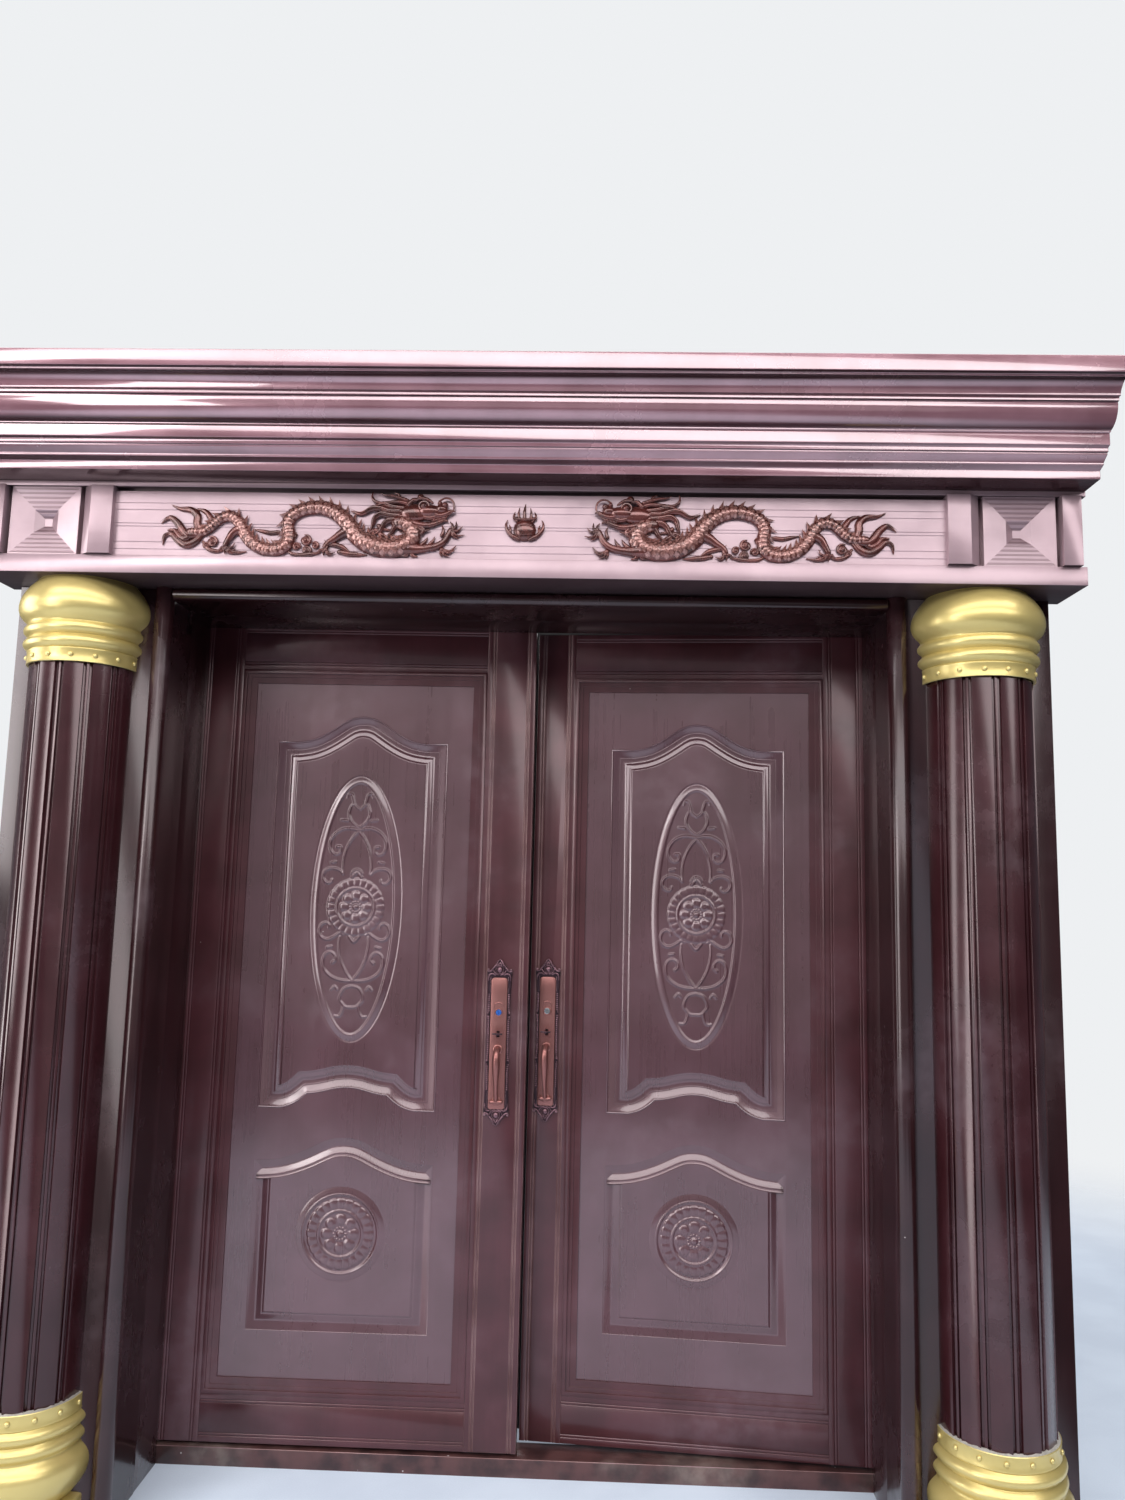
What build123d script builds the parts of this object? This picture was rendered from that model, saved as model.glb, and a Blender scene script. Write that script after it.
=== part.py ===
from build123d import *

import math
import os

# Carved double entry door with its frame, in millimetres.
# X runs to the right seen from outside, Y runs inward, Z runs up.
# The origin is on the floor, in the middle of the doorway, in the front plane of the closed leaves.
# Shapes for one side are drawn on the right (+X) and mirrored to the left.

# Doorway and leaves
clear_half_width = 955
clear_height = 2296
stop_lap = 11
edge_gap = 3
seal_gap = 3
leaf_thickness = 55
leaf_bottom = 56
meeting_edge = 11
meeting_gap = 6
ajar_angle = 4.4

# Door frame posts and threshold
post_depth_front = 152
post_side = 43
threshold_height = 47
threshold_proud = 8
threshold_depth = 90

# Stiles, rails and the panel moulding
hinge_stile_width = 118
meeting_stile_edge = 130
top_rail_height = 133
bottom_rail_height = 123
line_width = 3
line_depth = 2
line_inset = 16
moulding_width = 40
moulding_crown = 2
panel_sink = 10
panel_thickness = 10

# Pressed fields of the panel
field_half_width = 250
upper_field_bottom = 928
upper_field_top = 1964
upper_field_rise = 78
lower_field_bottom = 341
lower_field_top = 786
lower_field_rise = 67
valley_depth = 7
valley_slope = 24
upper_valley_floor = 14
lower_valley_floor = 2
field_lift = 2
shoulder_share = 0.75
foot_rise = 64
arc_chords = 4
ring_chords = 16
oval_centre = 1489
oval_half_width = 133
oval_half_height = 378
oval_ring = 20
ring_height = 4
rosette_radius = 81
rosette_lobes = 10
rosette_petals = 8
hub_share = 0.65
rosette_boss = 16
roundel_centre = 598
roundel_radius = 126
roundel_ring = 20

# Facing: casing with its bead, boards, wall plane
facing_depth = 307
board_thickness = 30
lining_lap = 2
lining_thickness = 8
bead_lap = 10.5
bead_width = 50
bead_rise = 25
bead_step = 4
head_bead_height = 34
head_bead_rise = 17
board_margin = 189.5

# Half-round columns
column_offset = 179.5
shaft_radius = 133
groove_depth = 9
groove_angle = 10
groove_pitch = 30
ridge_drop = 3
band_radius = 140
bulge_radius = 168
neck_radius = 128
drum_radius = 156
band_height = 35
collar_ring_height = 36
ring_rise = 12
ring_waist = 2
bulge_height = 121
base_band_top = 310
stud_radius = 6
stud_height = 5
stud_count = 8
stud_spread = 24

# Header: ledge, frieze and cornice
ledge_end = 15
ledge_bottom = 2328
ledge_height = 47
ledge_front = 456
frieze_height = 180
frieze_front = 452
header_front = 425
frieze_inset = 118
frieze_drop = 10
plank_grooves = 7
strip_width = 56.5
strip_front = 470
strip_splay = 24
block_gap = 10
outer_strip_width = 47
block_offset = 25.5
block_side = 179.5
block_ring_share = 0.34
block_pit_share = 0.11
block_dish = 8
block_pit = 15
frieze_bead_height = 13
frieze_bead_front = 460

# Carvings on the frieze
carving_height = 14
pearl_half_width = 47

# Hinges
hinge_offset = 2
knuckle_radius = 9
knuckle_lift = 0.5
hinge_half_height = 60
hinge_lift_gap = 0.4
pin_radius = 4.5
pin_fit = 0.06
pin_length = 48
flag_width = 38
flag_thickness = 3
hinge_levels = (260, 1980)

# Handle set
handle_x = 68
plate_bottom = 899
plate_top = 1354
plate_half_width = 36
plate_thickness = 6
field_half = 23.5
field_proud = 3
finial_radius = 15
grip_top = 1112
grip_foot = 975
grip_reach = 52
grip_radius = 9
cylinder_z = 1207
plug_radius = 8
plug_fit = 0.08
plug_proud = 3
plug_depth = 16
slot_half = 5
thumb_z = 1150
thumb_pin_radius = 2.5
thumb_pin_fit = 0.05
thumb_pin_half = 10
thumb_stem = 5
thumb_reach = 34
thumb_pad_width = 28
thumb_pad_depth = 14
thumb_play = 0.6

# Lock and bolts
lock_height = 150
lock_depth = 80
lock_thickness = 20
lock_fit = 0.5
bolt_fit = 0.5
dead_bolt_height = 30
dead_bolt_thickness = 12
dead_bolt_throw = 20
latch_height = 22
latch_thickness = 12
latch_throw = 12
bolt_tail = 25
shoot_bolt_side = 12
shoot_bolt_length = 160
shoot_bolt_throw = 18
shoot_bolt_fit = 0.4
shoot_bolt_x = 60

leaf_top = clear_height + stop_lap
leaf_edge = clear_half_width + stop_lap
hinge_stile_edge = leaf_edge - hinge_stile_width
top_rail_edge = leaf_top - top_rail_height
bottom_rail_edge = leaf_bottom + bottom_rail_height
rebate_edge = leaf_edge + edge_gap
post_outer = rebate_edge + post_side
head_top = leaf_top + edge_gap + post_side
wall_y = board_thickness - facing_depth
lining_inner = clear_half_width - lining_lap
bead_inner = clear_half_width - bead_lap
bead_outer = bead_inner + bead_width
column_x = bead_outer + column_offset
board_outer = column_x + board_margin
frieze_half_length = column_x - frieze_inset
block_inner = column_x - block_offset
outer_strip_inner = block_inner + block_side + block_gap
header_half_length = outer_strip_inner + outer_strip_width + ledge_end
ledge_top = ledge_bottom + ledge_height
frieze_top = ledge_top + frieze_height
cornice_bottom = frieze_top + frieze_bead_height
panel_centre = (hinge_stile_edge + meeting_stile_edge) / 2
panel_front = panel_sink
panel_back = panel_sink + panel_thickness
hinge_x = leaf_edge + hinge_offset
hinge_y = leaf_thickness + knuckle_radius + knuckle_lift
mid_thickness = leaf_thickness / 2
groove_angles = [groove_pitch * i for i in range(-2, 3)]

SIDE = Plane(origin=(0, 0, 0), x_dir=(0, 1, 0), z_dir=(1, 0, 0))
FRONT = Plane(origin=(0, 0, 0), x_dir=(1, 0, 0), z_dir=(0, -1, 0))


def outline(plane, start, *steps):
    """Closed face on a plane. A step is an end point, or (through, end) for an arc."""
    edges = []
    at = start
    for step in steps:
        if isinstance(step[0], tuple):
            through, end = step
            edges.append(ThreePointArc(at, through, end))
        else:
            end = step
            edges.append(Line(at, end))
        at = end
    if at != start:
        edges.append(Line(at, start))
    return plane * make_face(Wire(edges))


def corners(start, *steps):
    """Corner points of a path. A step is an end point, or (through, end) for an arc in short chords."""
    points = [start]
    for step in steps:
        if isinstance(step[0], tuple):
            arc = ThreePointArc(points[-1], *step)
            points.extend([tuple(arc @ (i / arc_chords))[:2] for i in range(1, arc_chords + 1)])
        else:
            points.append(step)
    return points


def inset(points, distance):
    """Corner points of a polygon that runs counter-clockwise, moved inwards by a distance."""
    moved = []
    for before, at, after in zip(points[-1:] + points, points, points[1:] + points[:1]):
        first = normal(before, at)
        second = normal(at, after)
        scale = distance / (1 + first[0] * second[0] + first[1] * second[1])
        moved.append((at[0] + scale * (first[0] + second[0]), at[1] + scale * (first[1] + second[1])))
    return moved


def normal(start, end):
    """Unit vector to the left of a line."""
    length = math.dist(start, end)
    return ((start[1] - end[1]) / length, (end[0] - start[0]) / length)


def ring_points(radius_x, radius_z, count, waist=1.0):
    """Points round a circle or an ellipse. A waist below 1 draws every other point inwards."""
    points = []
    for i in range(count):
        angle = 2 * math.pi * i / count
        reach = 1 if i % 2 else waist
        points.append((reach * radius_x * math.cos(angle), reach * radius_z * math.sin(angle)))
    return points


def flat_sided(base, top):
    """Solid between two loops of (x, y, z) points with the same count, closed by flat triangles."""
    faces = [Face(Wire.make_polygon(loop)) for loop in (base, top)]
    for i, (a, b) in enumerate(zip(base, top)):
        before_a = base[i - 1]
        before_b = top[i - 1]
        faces.append(Face(Wire.make_polygon([before_a, a, b])))
        faces.append(Face(Wire.make_polygon([before_a, b, before_b])))
    return Solid(Shell(faces)).clean()


def tapered(low, low_y, high, high_y, centre=(0, 0)):
    """Solid between two polygons of (x, z) points that lie at two depths y."""
    loops = []
    for points, y in ((low, low_y), (high, high_y)):
        loops.append([(x + centre[0], y, z + centre[1]) for x, z in points])
    return flat_sided(*loops)


def block(x0, x1, y0, y1, z0, z1):
    """Box between two corners."""
    centre = ((x0 + x1) / 2, (y0 + y1) / 2, (z0 + z1) / 2)
    return Pos(*centre) * Box(abs(x1 - x0), abs(y1 - y0), abs(z1 - z0))


def along_x(face, x0, x1):
    """Prism of a (y, z) face from x0 to x1."""
    return Pos(x0, 0, 0) * extrude(face, x1 - x0, dir=(1, 0, 0))


def along_z(face, z0, z1):
    """Prism of an (x, y) face from z0 to z1."""
    return Pos(0, 0, z0) * extrude(face, z1 - z0, dir=(0, 0, 1))


def relief(face, y, height):
    """Prism of an (x, z) face that stands forward of the plane y by height."""
    return Pos(0, y, 0) * extrude(face, height, dir=(0, -1, 0))


def rod(centre, radius, length, axis="z"):
    """Round bar that starts at a centre and runs along +X, +Y or +Z."""
    turn = {"x": Rot(0, 90, 0), "y": Rot(-90, 0, 0), "z": Rot(0, 0, 0)}[axis]
    bar = Cylinder(radius, length, align=(Align.CENTER, Align.CENTER, Align.MIN))
    return Pos(*centre) * turn * bar


def mirrored(shape):
    """The same shape on the left side."""
    return mirror(shape, about=Plane.YZ)


def lined(face_y, x0, x1):
    """Points of a front edge at face_y from x0 to x1, with a pair of fine grooves near each end."""
    half = line_width / 2
    points = []
    for centre in line_centres(x0, x1):
        points.append((centre - half, face_y))
        points.append((centre, face_y + line_depth))
        points.append((centre + half, face_y))
    return points


def line_centres(low, high):
    """Where the two pairs of fine grooves run between two edges."""
    pair = line_inset + 2.5 * line_width
    return [low + line_inset, low + pair, high - pair, high - line_inset]


def stile(x0, x1):
    """Upright leaf member with fine grooves in its front face."""
    points = [*lined(0, x0, x1), (x1, 0), (x1, leaf_thickness), (x0, leaf_thickness)]
    return along_z(outline(Plane.XY, (x0, 0), *points), leaf_bottom, leaf_top)


def rail(z0, z1):
    """Cross member between the stiles, with fine grooves near its edges."""
    points = [(y, z) for z, y in lined(0, z0, z1)]
    face = outline(SIDE, (0, z0), *points, (0, z1), (leaf_thickness, z1), (leaf_thickness, z0))
    return along_x(face, meeting_stile_edge, hinge_stile_edge)


def panel_moulding():
    """Stepped frame round the sunk panel, mitred at its corners."""
    width = hinge_stile_edge - meeting_stile_edge
    height = top_rail_edge - bottom_rail_edge
    middle_z = (top_rail_edge + bottom_rail_edge) / 2
    steps = (
        (0, 0.28, -moulding_crown),
        (0.28, 0.55, panel_sink * 0.35),
        (0.55, 1, panel_sink * 0.6),
    )
    frame = None
    for start, end, front in steps:
        outer = Rectangle(width - 2 * moulding_width * start, height - 2 * moulding_width * start)
        inner = Rectangle(width - 2 * moulding_width * end, height - 2 * moulding_width * end)
        ring = Pos(panel_centre, 0, middle_z) * (FRONT * (outer - inner))
        part = relief(ring, panel_sink, panel_sink - front)
        frame = part if frame is None else frame + part
    return frame


def ogee_top(half_width, base, rise):
    """Steps of an arched top edge from right to left, hollow at the ends and round in the middle."""
    bend = half_width * 0.32
    level = base + rise * 0.7
    hollow = (half_width * 0.66, base + rise * 0.21)
    crown = (bend * 0.55, base + rise * 0.92)
    return [
        (hollow, (bend, level)),
        (crown, (0, base + rise)),
        ((-crown[0], crown[1]), (-bend, level)),
        ((-hollow[0], hollow[1]), (-half_width, base)),
    ]


def upper_field():
    """Corner points of the upper pressed field: shouldered below, arched between shoulders above."""
    low = upper_field_bottom
    high = upper_field_top
    wide = field_half_width
    shoulder = wide * shoulder_share
    foot = [
        (wide * 0.12, low + 0.95 * foot_rise),
        (wide * 0.27, low + 0.77 * foot_rise),
        (wide * 0.48, low + 0.64 * foot_rise),
        (wide * 0.54, low + 0.3 * foot_rise),
        (wide * 0.62, low + 0.07 * foot_rise),
        (wide * 0.72, low),
    ]
    left_foot = [(-x, z) for x, z in reversed(foot)]
    top = ogee_top(shoulder, high, upper_field_rise)
    return corners(
        (-wide, low),
        *left_foot,
        (0, low + foot_rise),
        *foot,
        (wide, low),
        (wide, high),
        (shoulder, high),
        *top,
        (-wide, high),
    )


def lower_field():
    """Corner points of the lower pressed field: straight below, arched over its full width above."""
    wide = field_half_width
    low = lower_field_bottom
    high = lower_field_top
    top = ogee_top(wide, high, lower_field_rise)
    return corners((-wide, low), (wide, low), (wide, high), *top)


def pressed_field(sheet, points, valley_floor, lift):
    """The sheet with a valley pressed round a field whose middle stands proud by lift."""
    bottom = panel_front + valley_depth
    centre = (panel_centre, 0)
    first = inset(points, valley_slope)
    second = inset(points, valley_slope + valley_floor)
    middle = inset(points, 2 * valley_slope + valley_floor)
    pit = tapered(points, panel_front, first, bottom, centre)
    island = tapered(second, bottom, middle, panel_front - lift, centre)
    return sheet - pit + island


def pressed_ring(centre_z, radius_x, radius_z, width, height):
    """Raised ring with sloping sides."""
    top = panel_front - height
    centre = (panel_centre, centre_z)
    loops = [ring_points(radius_x - d, radius_z - d, ring_chords) for d in (0, width / 3, width)]
    loops.append(ring_points(radius_x - width * 2 / 3, radius_z - width * 2 / 3, ring_chords))
    outer = tapered(loops[0], panel_front, loops[1], top, centre)
    inner = tapered(loops[2], panel_front, loops[3], top, centre)
    return outer - inner


def rosette(centre_z, radius):
    """Scalloped disc with eight petals and a boss, each standing on the one before."""
    centre = (panel_centre, centre_z)
    rim = panel_front - ring_height
    hub = rim - ring_height / 2
    boss = hub - ring_height
    fan = 2 * rosette_lobes
    flower = tapered(
        ring_points(radius, radius, fan, 0.93),
        panel_front,
        ring_points(radius * 0.9, radius * 0.9, fan, 0.8),
        rim,
        centre,
    )
    petals = 2 * rosette_petals
    hub_radius = radius * hub_share
    flower += tapered(
        ring_points(hub_radius, hub_radius, petals, 0.7),
        rim,
        ring_points(hub_radius * 0.8, hub_radius * 0.8, petals, 0.55),
        hub,
        centre,
    )
    knob = rosette_boss
    flower += tapered(
        ring_points(knob, knob, rosette_petals), hub, ring_points(knob / 2, knob / 2, rosette_petals), boss, centre
    )
    return flower


def pressed_panel():
    """Sunk sheet with its two pressed fields, the oval and roundel rings and their rosettes."""
    sheet = block(
        meeting_stile_edge, hinge_stile_edge, panel_front, panel_back, bottom_rail_edge, top_rail_edge
    )
    sheet = pressed_field(sheet, upper_field(), upper_valley_floor, 0)
    sheet = pressed_field(sheet, lower_field(), lower_valley_floor, field_lift)
    sheet += pressed_ring(oval_centre, oval_half_width, oval_half_height, oval_ring, ring_height)
    sheet += rosette(oval_centre, rosette_radius)
    roundel = pressed_ring(roundel_centre, roundel_radius, roundel_radius, roundel_ring, ring_height)
    roundel += rosette(roundel_centre, roundel_radius - 1.5 * roundel_ring)
    return sheet + Pos(0, -field_lift, 0) * roundel


def back_panel():
    """Plain back pressing bonded to its honeycomb core."""
    return block(
        meeting_stile_edge, hinge_stile_edge, panel_back, leaf_thickness, bottom_rail_edge, top_rail_edge
    )


def hinge_flags(on_leaf):
    """Hinge halves of one leaf: bored knuckles on the leaf, pinned knuckles on the frame."""
    flags = None
    for level in hinge_levels:
        if on_leaf:
            low = level + hinge_half_height + hinge_lift_gap
            side = -1
        else:
            low = level
            side = 1
        barrel = Pos(hinge_x, hinge_y, low) * RegularPolygon(knuckle_radius, 8, rotation=22.5)
        knuckle = extrude(barrel, hinge_half_height)
        flag = block(
            hinge_x,
            hinge_x + side * flag_width,
            leaf_thickness,
            leaf_thickness + flag_thickness,
            low,
            low + hinge_half_height,
        )
        half = knuckle + flag
        if on_leaf:
            half -= rod((hinge_x, hinge_y, low), pin_radius + pin_fit, pin_length + hinge_lift_gap)
        else:
            top = low + hinge_half_height
            half += rod((hinge_x, hinge_y, top), pin_radius, pin_length)
        flags = half if flags is None else flags + half
    return flags


def plate_outline():
    """Outline of the handle's back plate: stepped sides, shoulders and a leaf tip at each end."""
    wide = plate_half_width
    tip = finial_radius
    half = (plate_top - plate_bottom) / 2
    shoulder = half - 3 * tip
    upper = [
        (wide * 0.84, 0),
        (wide * 0.84, shoulder * 0.26),
        (wide * 0.96, shoulder * 0.32),
        (wide * 0.84, shoulder * 0.38),
        (wide * 0.84, shoulder),
        (wide, shoulder),
        (wide, shoulder + tip / 2),
        (tip * 0.6, half - 1.9 * tip),
        (tip, half - tip),
        (tip * 0.7, half - 0.4 * tip),
    ]
    right = [(x, -z) for x, z in reversed(upper[1:])] + upper
    points = [(0, -half), *right, (0, half)] + [(-x, z) for x, z in reversed(right)]
    face = outline(Plane.XY, points[0], *points[1:])
    return FRONT * (Pos(0, (plate_top + plate_bottom) / 2) * face)


def handle_plate():
    """Cast back plate with its raised copper field and a boss at each tip."""
    plate = Pos(handle_x, 0, 0) * relief(plate_outline(), 0, plate_thickness)
    low = plate_bottom + 3 * finial_radius
    high = plate_top - 3.4 * finial_radius
    front = plate_thickness + field_proud
    chamfer = field_half / 2
    field = [
        (-field_half, low),
        (field_half, low),
        (field_half, high - chamfer),
        (field_half - chamfer, high),
        (chamfer - field_half, high),
        (-field_half, high - chamfer),
    ]
    plate += tapered(field, -plate_thickness, inset(field, field_proud), -front, (handle_x, 0))
    boss = ring_points(finial_radius * 0.6, finial_radius * 0.6, 8)
    for z in (plate_top - 1.2 * finial_radius, plate_bottom + 1.2 * finial_radius):
        top = -plate_thickness - finial_radius / 3
        plate += tapered(boss, -plate_thickness, inset(boss, finial_radius / 4), top, (handle_x, z))
    return plate


def handle_holes():
    """Holes in the active leaf's handle plate: plug bore, thumb slot and the channel of its cross pin."""
    front = plate_thickness + field_proud
    half_slot = thumb_stem / 2 + thumb_play
    holes = rod((handle_x, -front, cylinder_z), plug_radius + plug_fit, front, "y")
    holes += block(
        handle_x - half_slot, handle_x + half_slot, -front, 0, thumb_z - 2 * thumb_stem, thumb_z + thumb_stem
    )
    half_pin = thumb_pin_half + thumb_play
    tall = thumb_pin_radius + thumb_pin_fit
    return holes + block(
        handle_x - half_pin, handle_x + half_pin, -thumb_pivot() - tall, 0, thumb_z - tall, thumb_z + tall
    )


def thumb_pin():
    """Cross pin of the thumb piece, held in a channel behind the plate."""
    centre = (handle_x - thumb_pin_half, -thumb_pivot(), thumb_z)
    return rod(centre, thumb_pin_radius, 2 * thumb_pin_half, "x")


def thumb_pivot():
    """How far the thumb piece's pin lies in front of the leaf."""
    return (plate_thickness + field_proud) / 2


def thumb_piece(back):
    """Thumb piece: a stem that starts at a depth back, with a flat pad in front."""
    half = thumb_stem / 2
    front = -plate_thickness - field_proud - thumb_reach
    stem = block(handle_x - half, handle_x + half, front, back, thumb_z - half, thumb_z + half)
    pad = block(
        handle_x - thumb_pad_width / 2,
        handle_x + thumb_pad_width / 2,
        front,
        front + thumb_pad_depth,
        thumb_z,
        thumb_z + half + 1,
    )
    return stem + pad


def grip(root_y, sign):
    """Bowed pull grip with six flats that stands on a plate and reaches out along sign * Y."""
    reach = root_y + sign * grip_reach
    points = [
        (handle_x, root_y, grip_top),
        (handle_x, root_y + sign * grip_reach * 0.75, grip_top),
        (handle_x, reach, grip_top - 14),
        (handle_x, reach, grip_top - 44),
        (handle_x, root_y + sign * grip_reach * 0.62, grip_foot + 34),
        (handle_x, root_y + sign * grip_reach * 0.3, grip_foot),
        (handle_x, root_y, grip_foot),
    ]
    start = Plane(origin=points[0], z_dir=(0, sign, 0))
    bar = sweep(
        start * RegularPolygon(grip_radius, 6), path=Polyline(*points), transition=Transition.RIGHT
    )
    foot = Plane(origin=points[-1], z_dir=(0, sign, 0)) * RegularPolygon(grip_radius * 1.5, 6)
    return bar + extrude(foot, grip_radius / 2, dir=(0, sign, 0))


def cylinder_plug(barrel):
    """Lock plug with its key slot cut in a barrel."""
    front = -plate_thickness - field_proud - plug_proud
    slot = block(
        handle_x - 1, handle_x + 1, front, front + plug_proud - 1, cylinder_z - slot_half, cylinder_z + slot_half
    )
    return barrel - slot


def turning_plug():
    """Plug that turns in the plate's bore and reaches into the lock."""
    front = plate_thickness + field_proud + plug_proud
    return cylinder_plug(rod((handle_x, -front, cylinder_z), plug_radius, front + plug_depth, "y"))


def dummy_plug():
    """Blind plug that stands on the plate."""
    front = -plate_thickness - field_proud
    loop = ring_points(plug_radius, plug_radius, 12)
    return cylinder_plug(tapered(loop, front, loop, front - plug_proud, (handle_x, cylinder_z)))


def inside_handle():
    """Plain plate with a bowed grip on the room side of the leaf."""
    wide = plate_half_width * 0.8
    height = plate_top - plate_bottom - 2 * finial_radius
    face = FRONT * Rectangle(2 * wide, height)
    middle = (plate_top + plate_bottom) / 2
    plate = Pos(handle_x, 0, middle) * relief(face, leaf_thickness + plate_thickness, plate_thickness)
    return plate + grip(leaf_thickness + plate_thickness, 1)


def handle_pockets():
    """Square holes in the active leaf's meeting stile behind its handle plate."""
    half_slot = thumb_stem / 2 + thumb_play
    half_plug = plug_radius + 1
    plug = block(
        handle_x - half_plug,
        handle_x + half_plug,
        0,
        plug_depth + 1,
        cylinder_z - half_plug,
        cylinder_z + half_plug,
    )
    thumb = block(
        handle_x - half_slot, handle_x + half_slot, 0, 3, thumb_z - 2 * thumb_stem, thumb_z + thumb_stem
    )
    return plug + thumb


def lock_box(fit=0.0):
    """Mortise lock case in the edge of the active leaf."""
    edge = meeting_edge + meeting_gap
    middle = (cylinder_z + thumb_z) / 2
    return block(
        edge,
        edge + lock_depth + fit,
        mid_thickness - lock_thickness / 2 - fit,
        mid_thickness + lock_thickness / 2 + fit,
        middle - lock_height / 2 - fit,
        middle + lock_height / 2 + fit,
    )


def bolt_bar(z, height, thickness, inner, outer, fit=0.0):
    """Flat bolt that slides along X at a level z."""
    return block(
        inner,
        outer,
        mid_thickness - thickness / 2 - fit,
        mid_thickness + thickness / 2 + fit,
        z - height / 2 - fit,
        z + height / 2 + fit,
    )


def dead_bolt(fit=0.0):
    """Dead bolt, drawn back in the lock."""
    edge = meeting_edge + meeting_gap
    tail = edge + dead_bolt_throw + bolt_tail
    return bolt_bar(cylinder_z, dead_bolt_height, dead_bolt_thickness, edge, tail, fit)


def latch_bolt(fit=0.0):
    """Latch bolt, drawn back while the leaf stands open."""
    edge = meeting_edge + meeting_gap
    return bolt_bar(thumb_z, latch_height, latch_thickness, edge, edge + latch_throw + bolt_tail, fit)


def shoot_bolt(top, fit=0.0):
    """Square shoot bolt in the passive leaf's meeting stile, at its top or bottom end."""
    half = shoot_bolt_side / 2 + fit
    if top:
        low = leaf_top - shoot_bolt_length - fit
        high = leaf_top
    else:
        low = leaf_bottom
        high = leaf_bottom + shoot_bolt_length + fit
    return block(
        shoot_bolt_x - half, shoot_bolt_x + half, mid_thickness - half, mid_thickness + half, low, high
    )


def shoot_socket(low, high):
    """Square hole in the frame that takes a thrown shoot bolt, on the left side."""
    half = shoot_bolt_side / 2 + 2 * shoot_bolt_fit
    return block(
        -shoot_bolt_x - half, half - shoot_bolt_x, mid_thickness - half, mid_thickness + half, low, high
    )


def leaf(inner_edge):
    """Pieces that both leaves share, drawn closed on the right side."""
    return {
        "hinge_stile": stile(hinge_stile_edge, leaf_edge),
        "meeting_stile": stile(inner_edge, meeting_stile_edge),
        "rails": rail(top_rail_edge, leaf_top) + rail(leaf_bottom, bottom_rail_edge),
        "panel_moulding": panel_moulding(),
        "pressed_panel": pressed_panel(),
        "back_panel": back_panel(),
        "hinge_leaves": hinge_flags(True),
        "handle_plate": handle_plate(),
        "pull_grip": grip(-plate_thickness - field_proud, -1),
        "inside_handle": inside_handle(),
    }


def left_leaf():
    """Passive leaf, closed, with dummy handle furniture, strike pockets and shoot bolts."""
    pieces = leaf(-meeting_edge)
    pockets = strike_pocket(cylinder_z, dead_bolt_height, dead_bolt_thickness, dead_bolt_throw)
    pockets += strike_pocket(thumb_z, latch_height, latch_thickness, latch_throw)
    bores = shoot_bolt(True, shoot_bolt_fit) + shoot_bolt(False, shoot_bolt_fit)
    pieces["meeting_stile"] = pieces["meeting_stile"] - pockets - bores
    pieces["thumb_piece"] = thumb_piece(-plate_thickness - field_proud)
    pieces["cylinder_plug"] = dummy_plug()
    pieces["top_shoot_bolt"] = shoot_bolt(True)
    pieces["bottom_shoot_bolt"] = shoot_bolt(False)
    return {name: mirrored(shape) for name, shape in pieces.items()}


def strike_pocket(z, height, thickness, throw):
    """Pocket in the passive leaf's edge that takes a thrown bolt."""
    spare = 2 * bolt_fit
    return bolt_bar(z, height, thickness, -meeting_edge, -meeting_edge + throw + spare, spare)


def right_leaf():
    """Active leaf with its lock, swung inwards by the ajar angle."""
    edge = meeting_edge + meeting_gap
    pieces = leaf(edge)
    pieces["meeting_stile"] = pieces["meeting_stile"] - handle_pockets() - lock_box(lock_fit)
    pieces["handle_plate"] = pieces["handle_plate"] - handle_holes()
    pieces["thumb_piece"] = thumb_piece(-thumb_pivot()) + thumb_pin()
    pieces["cylinder_plug"] = turning_plug()
    pieces["lock_case"] = lock_box() - dead_bolt(bolt_fit) - latch_bolt(bolt_fit)
    pieces["dead_bolt"] = dead_bolt()
    pieces["latch_bolt"] = latch_bolt()
    turn = Pos(hinge_x, hinge_y, 0) * Rot(0, 0, -ajar_angle) * Pos(-hinge_x, -hinge_y, 0)
    return {name: turn * shape for name, shape in pieces.items()}


def threshold():
    """Sill bar under the leaves, bored for the bottom shoot bolt."""
    bar = block(
        -post_outer,
        post_outer,
        -threshold_proud,
        threshold_depth - threshold_proud,
        0,
        threshold_height,
    )
    return bar - shoot_socket(0, threshold_height)


def jamb():
    """Right frame post: a deep box section with the rebate that takes the leaf."""
    face = outline(
        Plane.XY,
        (clear_half_width, -post_depth_front),
        (post_outer, -post_depth_front),
        (post_outer, leaf_thickness),
        (rebate_edge, leaf_thickness),
        (rebate_edge, -seal_gap),
        (clear_half_width, -seal_gap),
    )
    post = along_z(face, 0, head_top)
    return post - threshold()


def head_stop():
    """Front part of the frame's head, which stops the leaves' top edge."""
    return block(
        -clear_half_width, clear_half_width, -post_depth_front, -seal_gap, clear_height, head_top
    )


def frame_head():
    """Rear part of the frame's head over the leaves, with the top shoot bolt's socket."""
    low = leaf_top + edge_gap
    bar = block(-rebate_edge, rebate_edge, -seal_gap, leaf_thickness, low, head_top)
    return bar - shoot_socket(low, low + 1.2 * shoot_bolt_throw)


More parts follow.
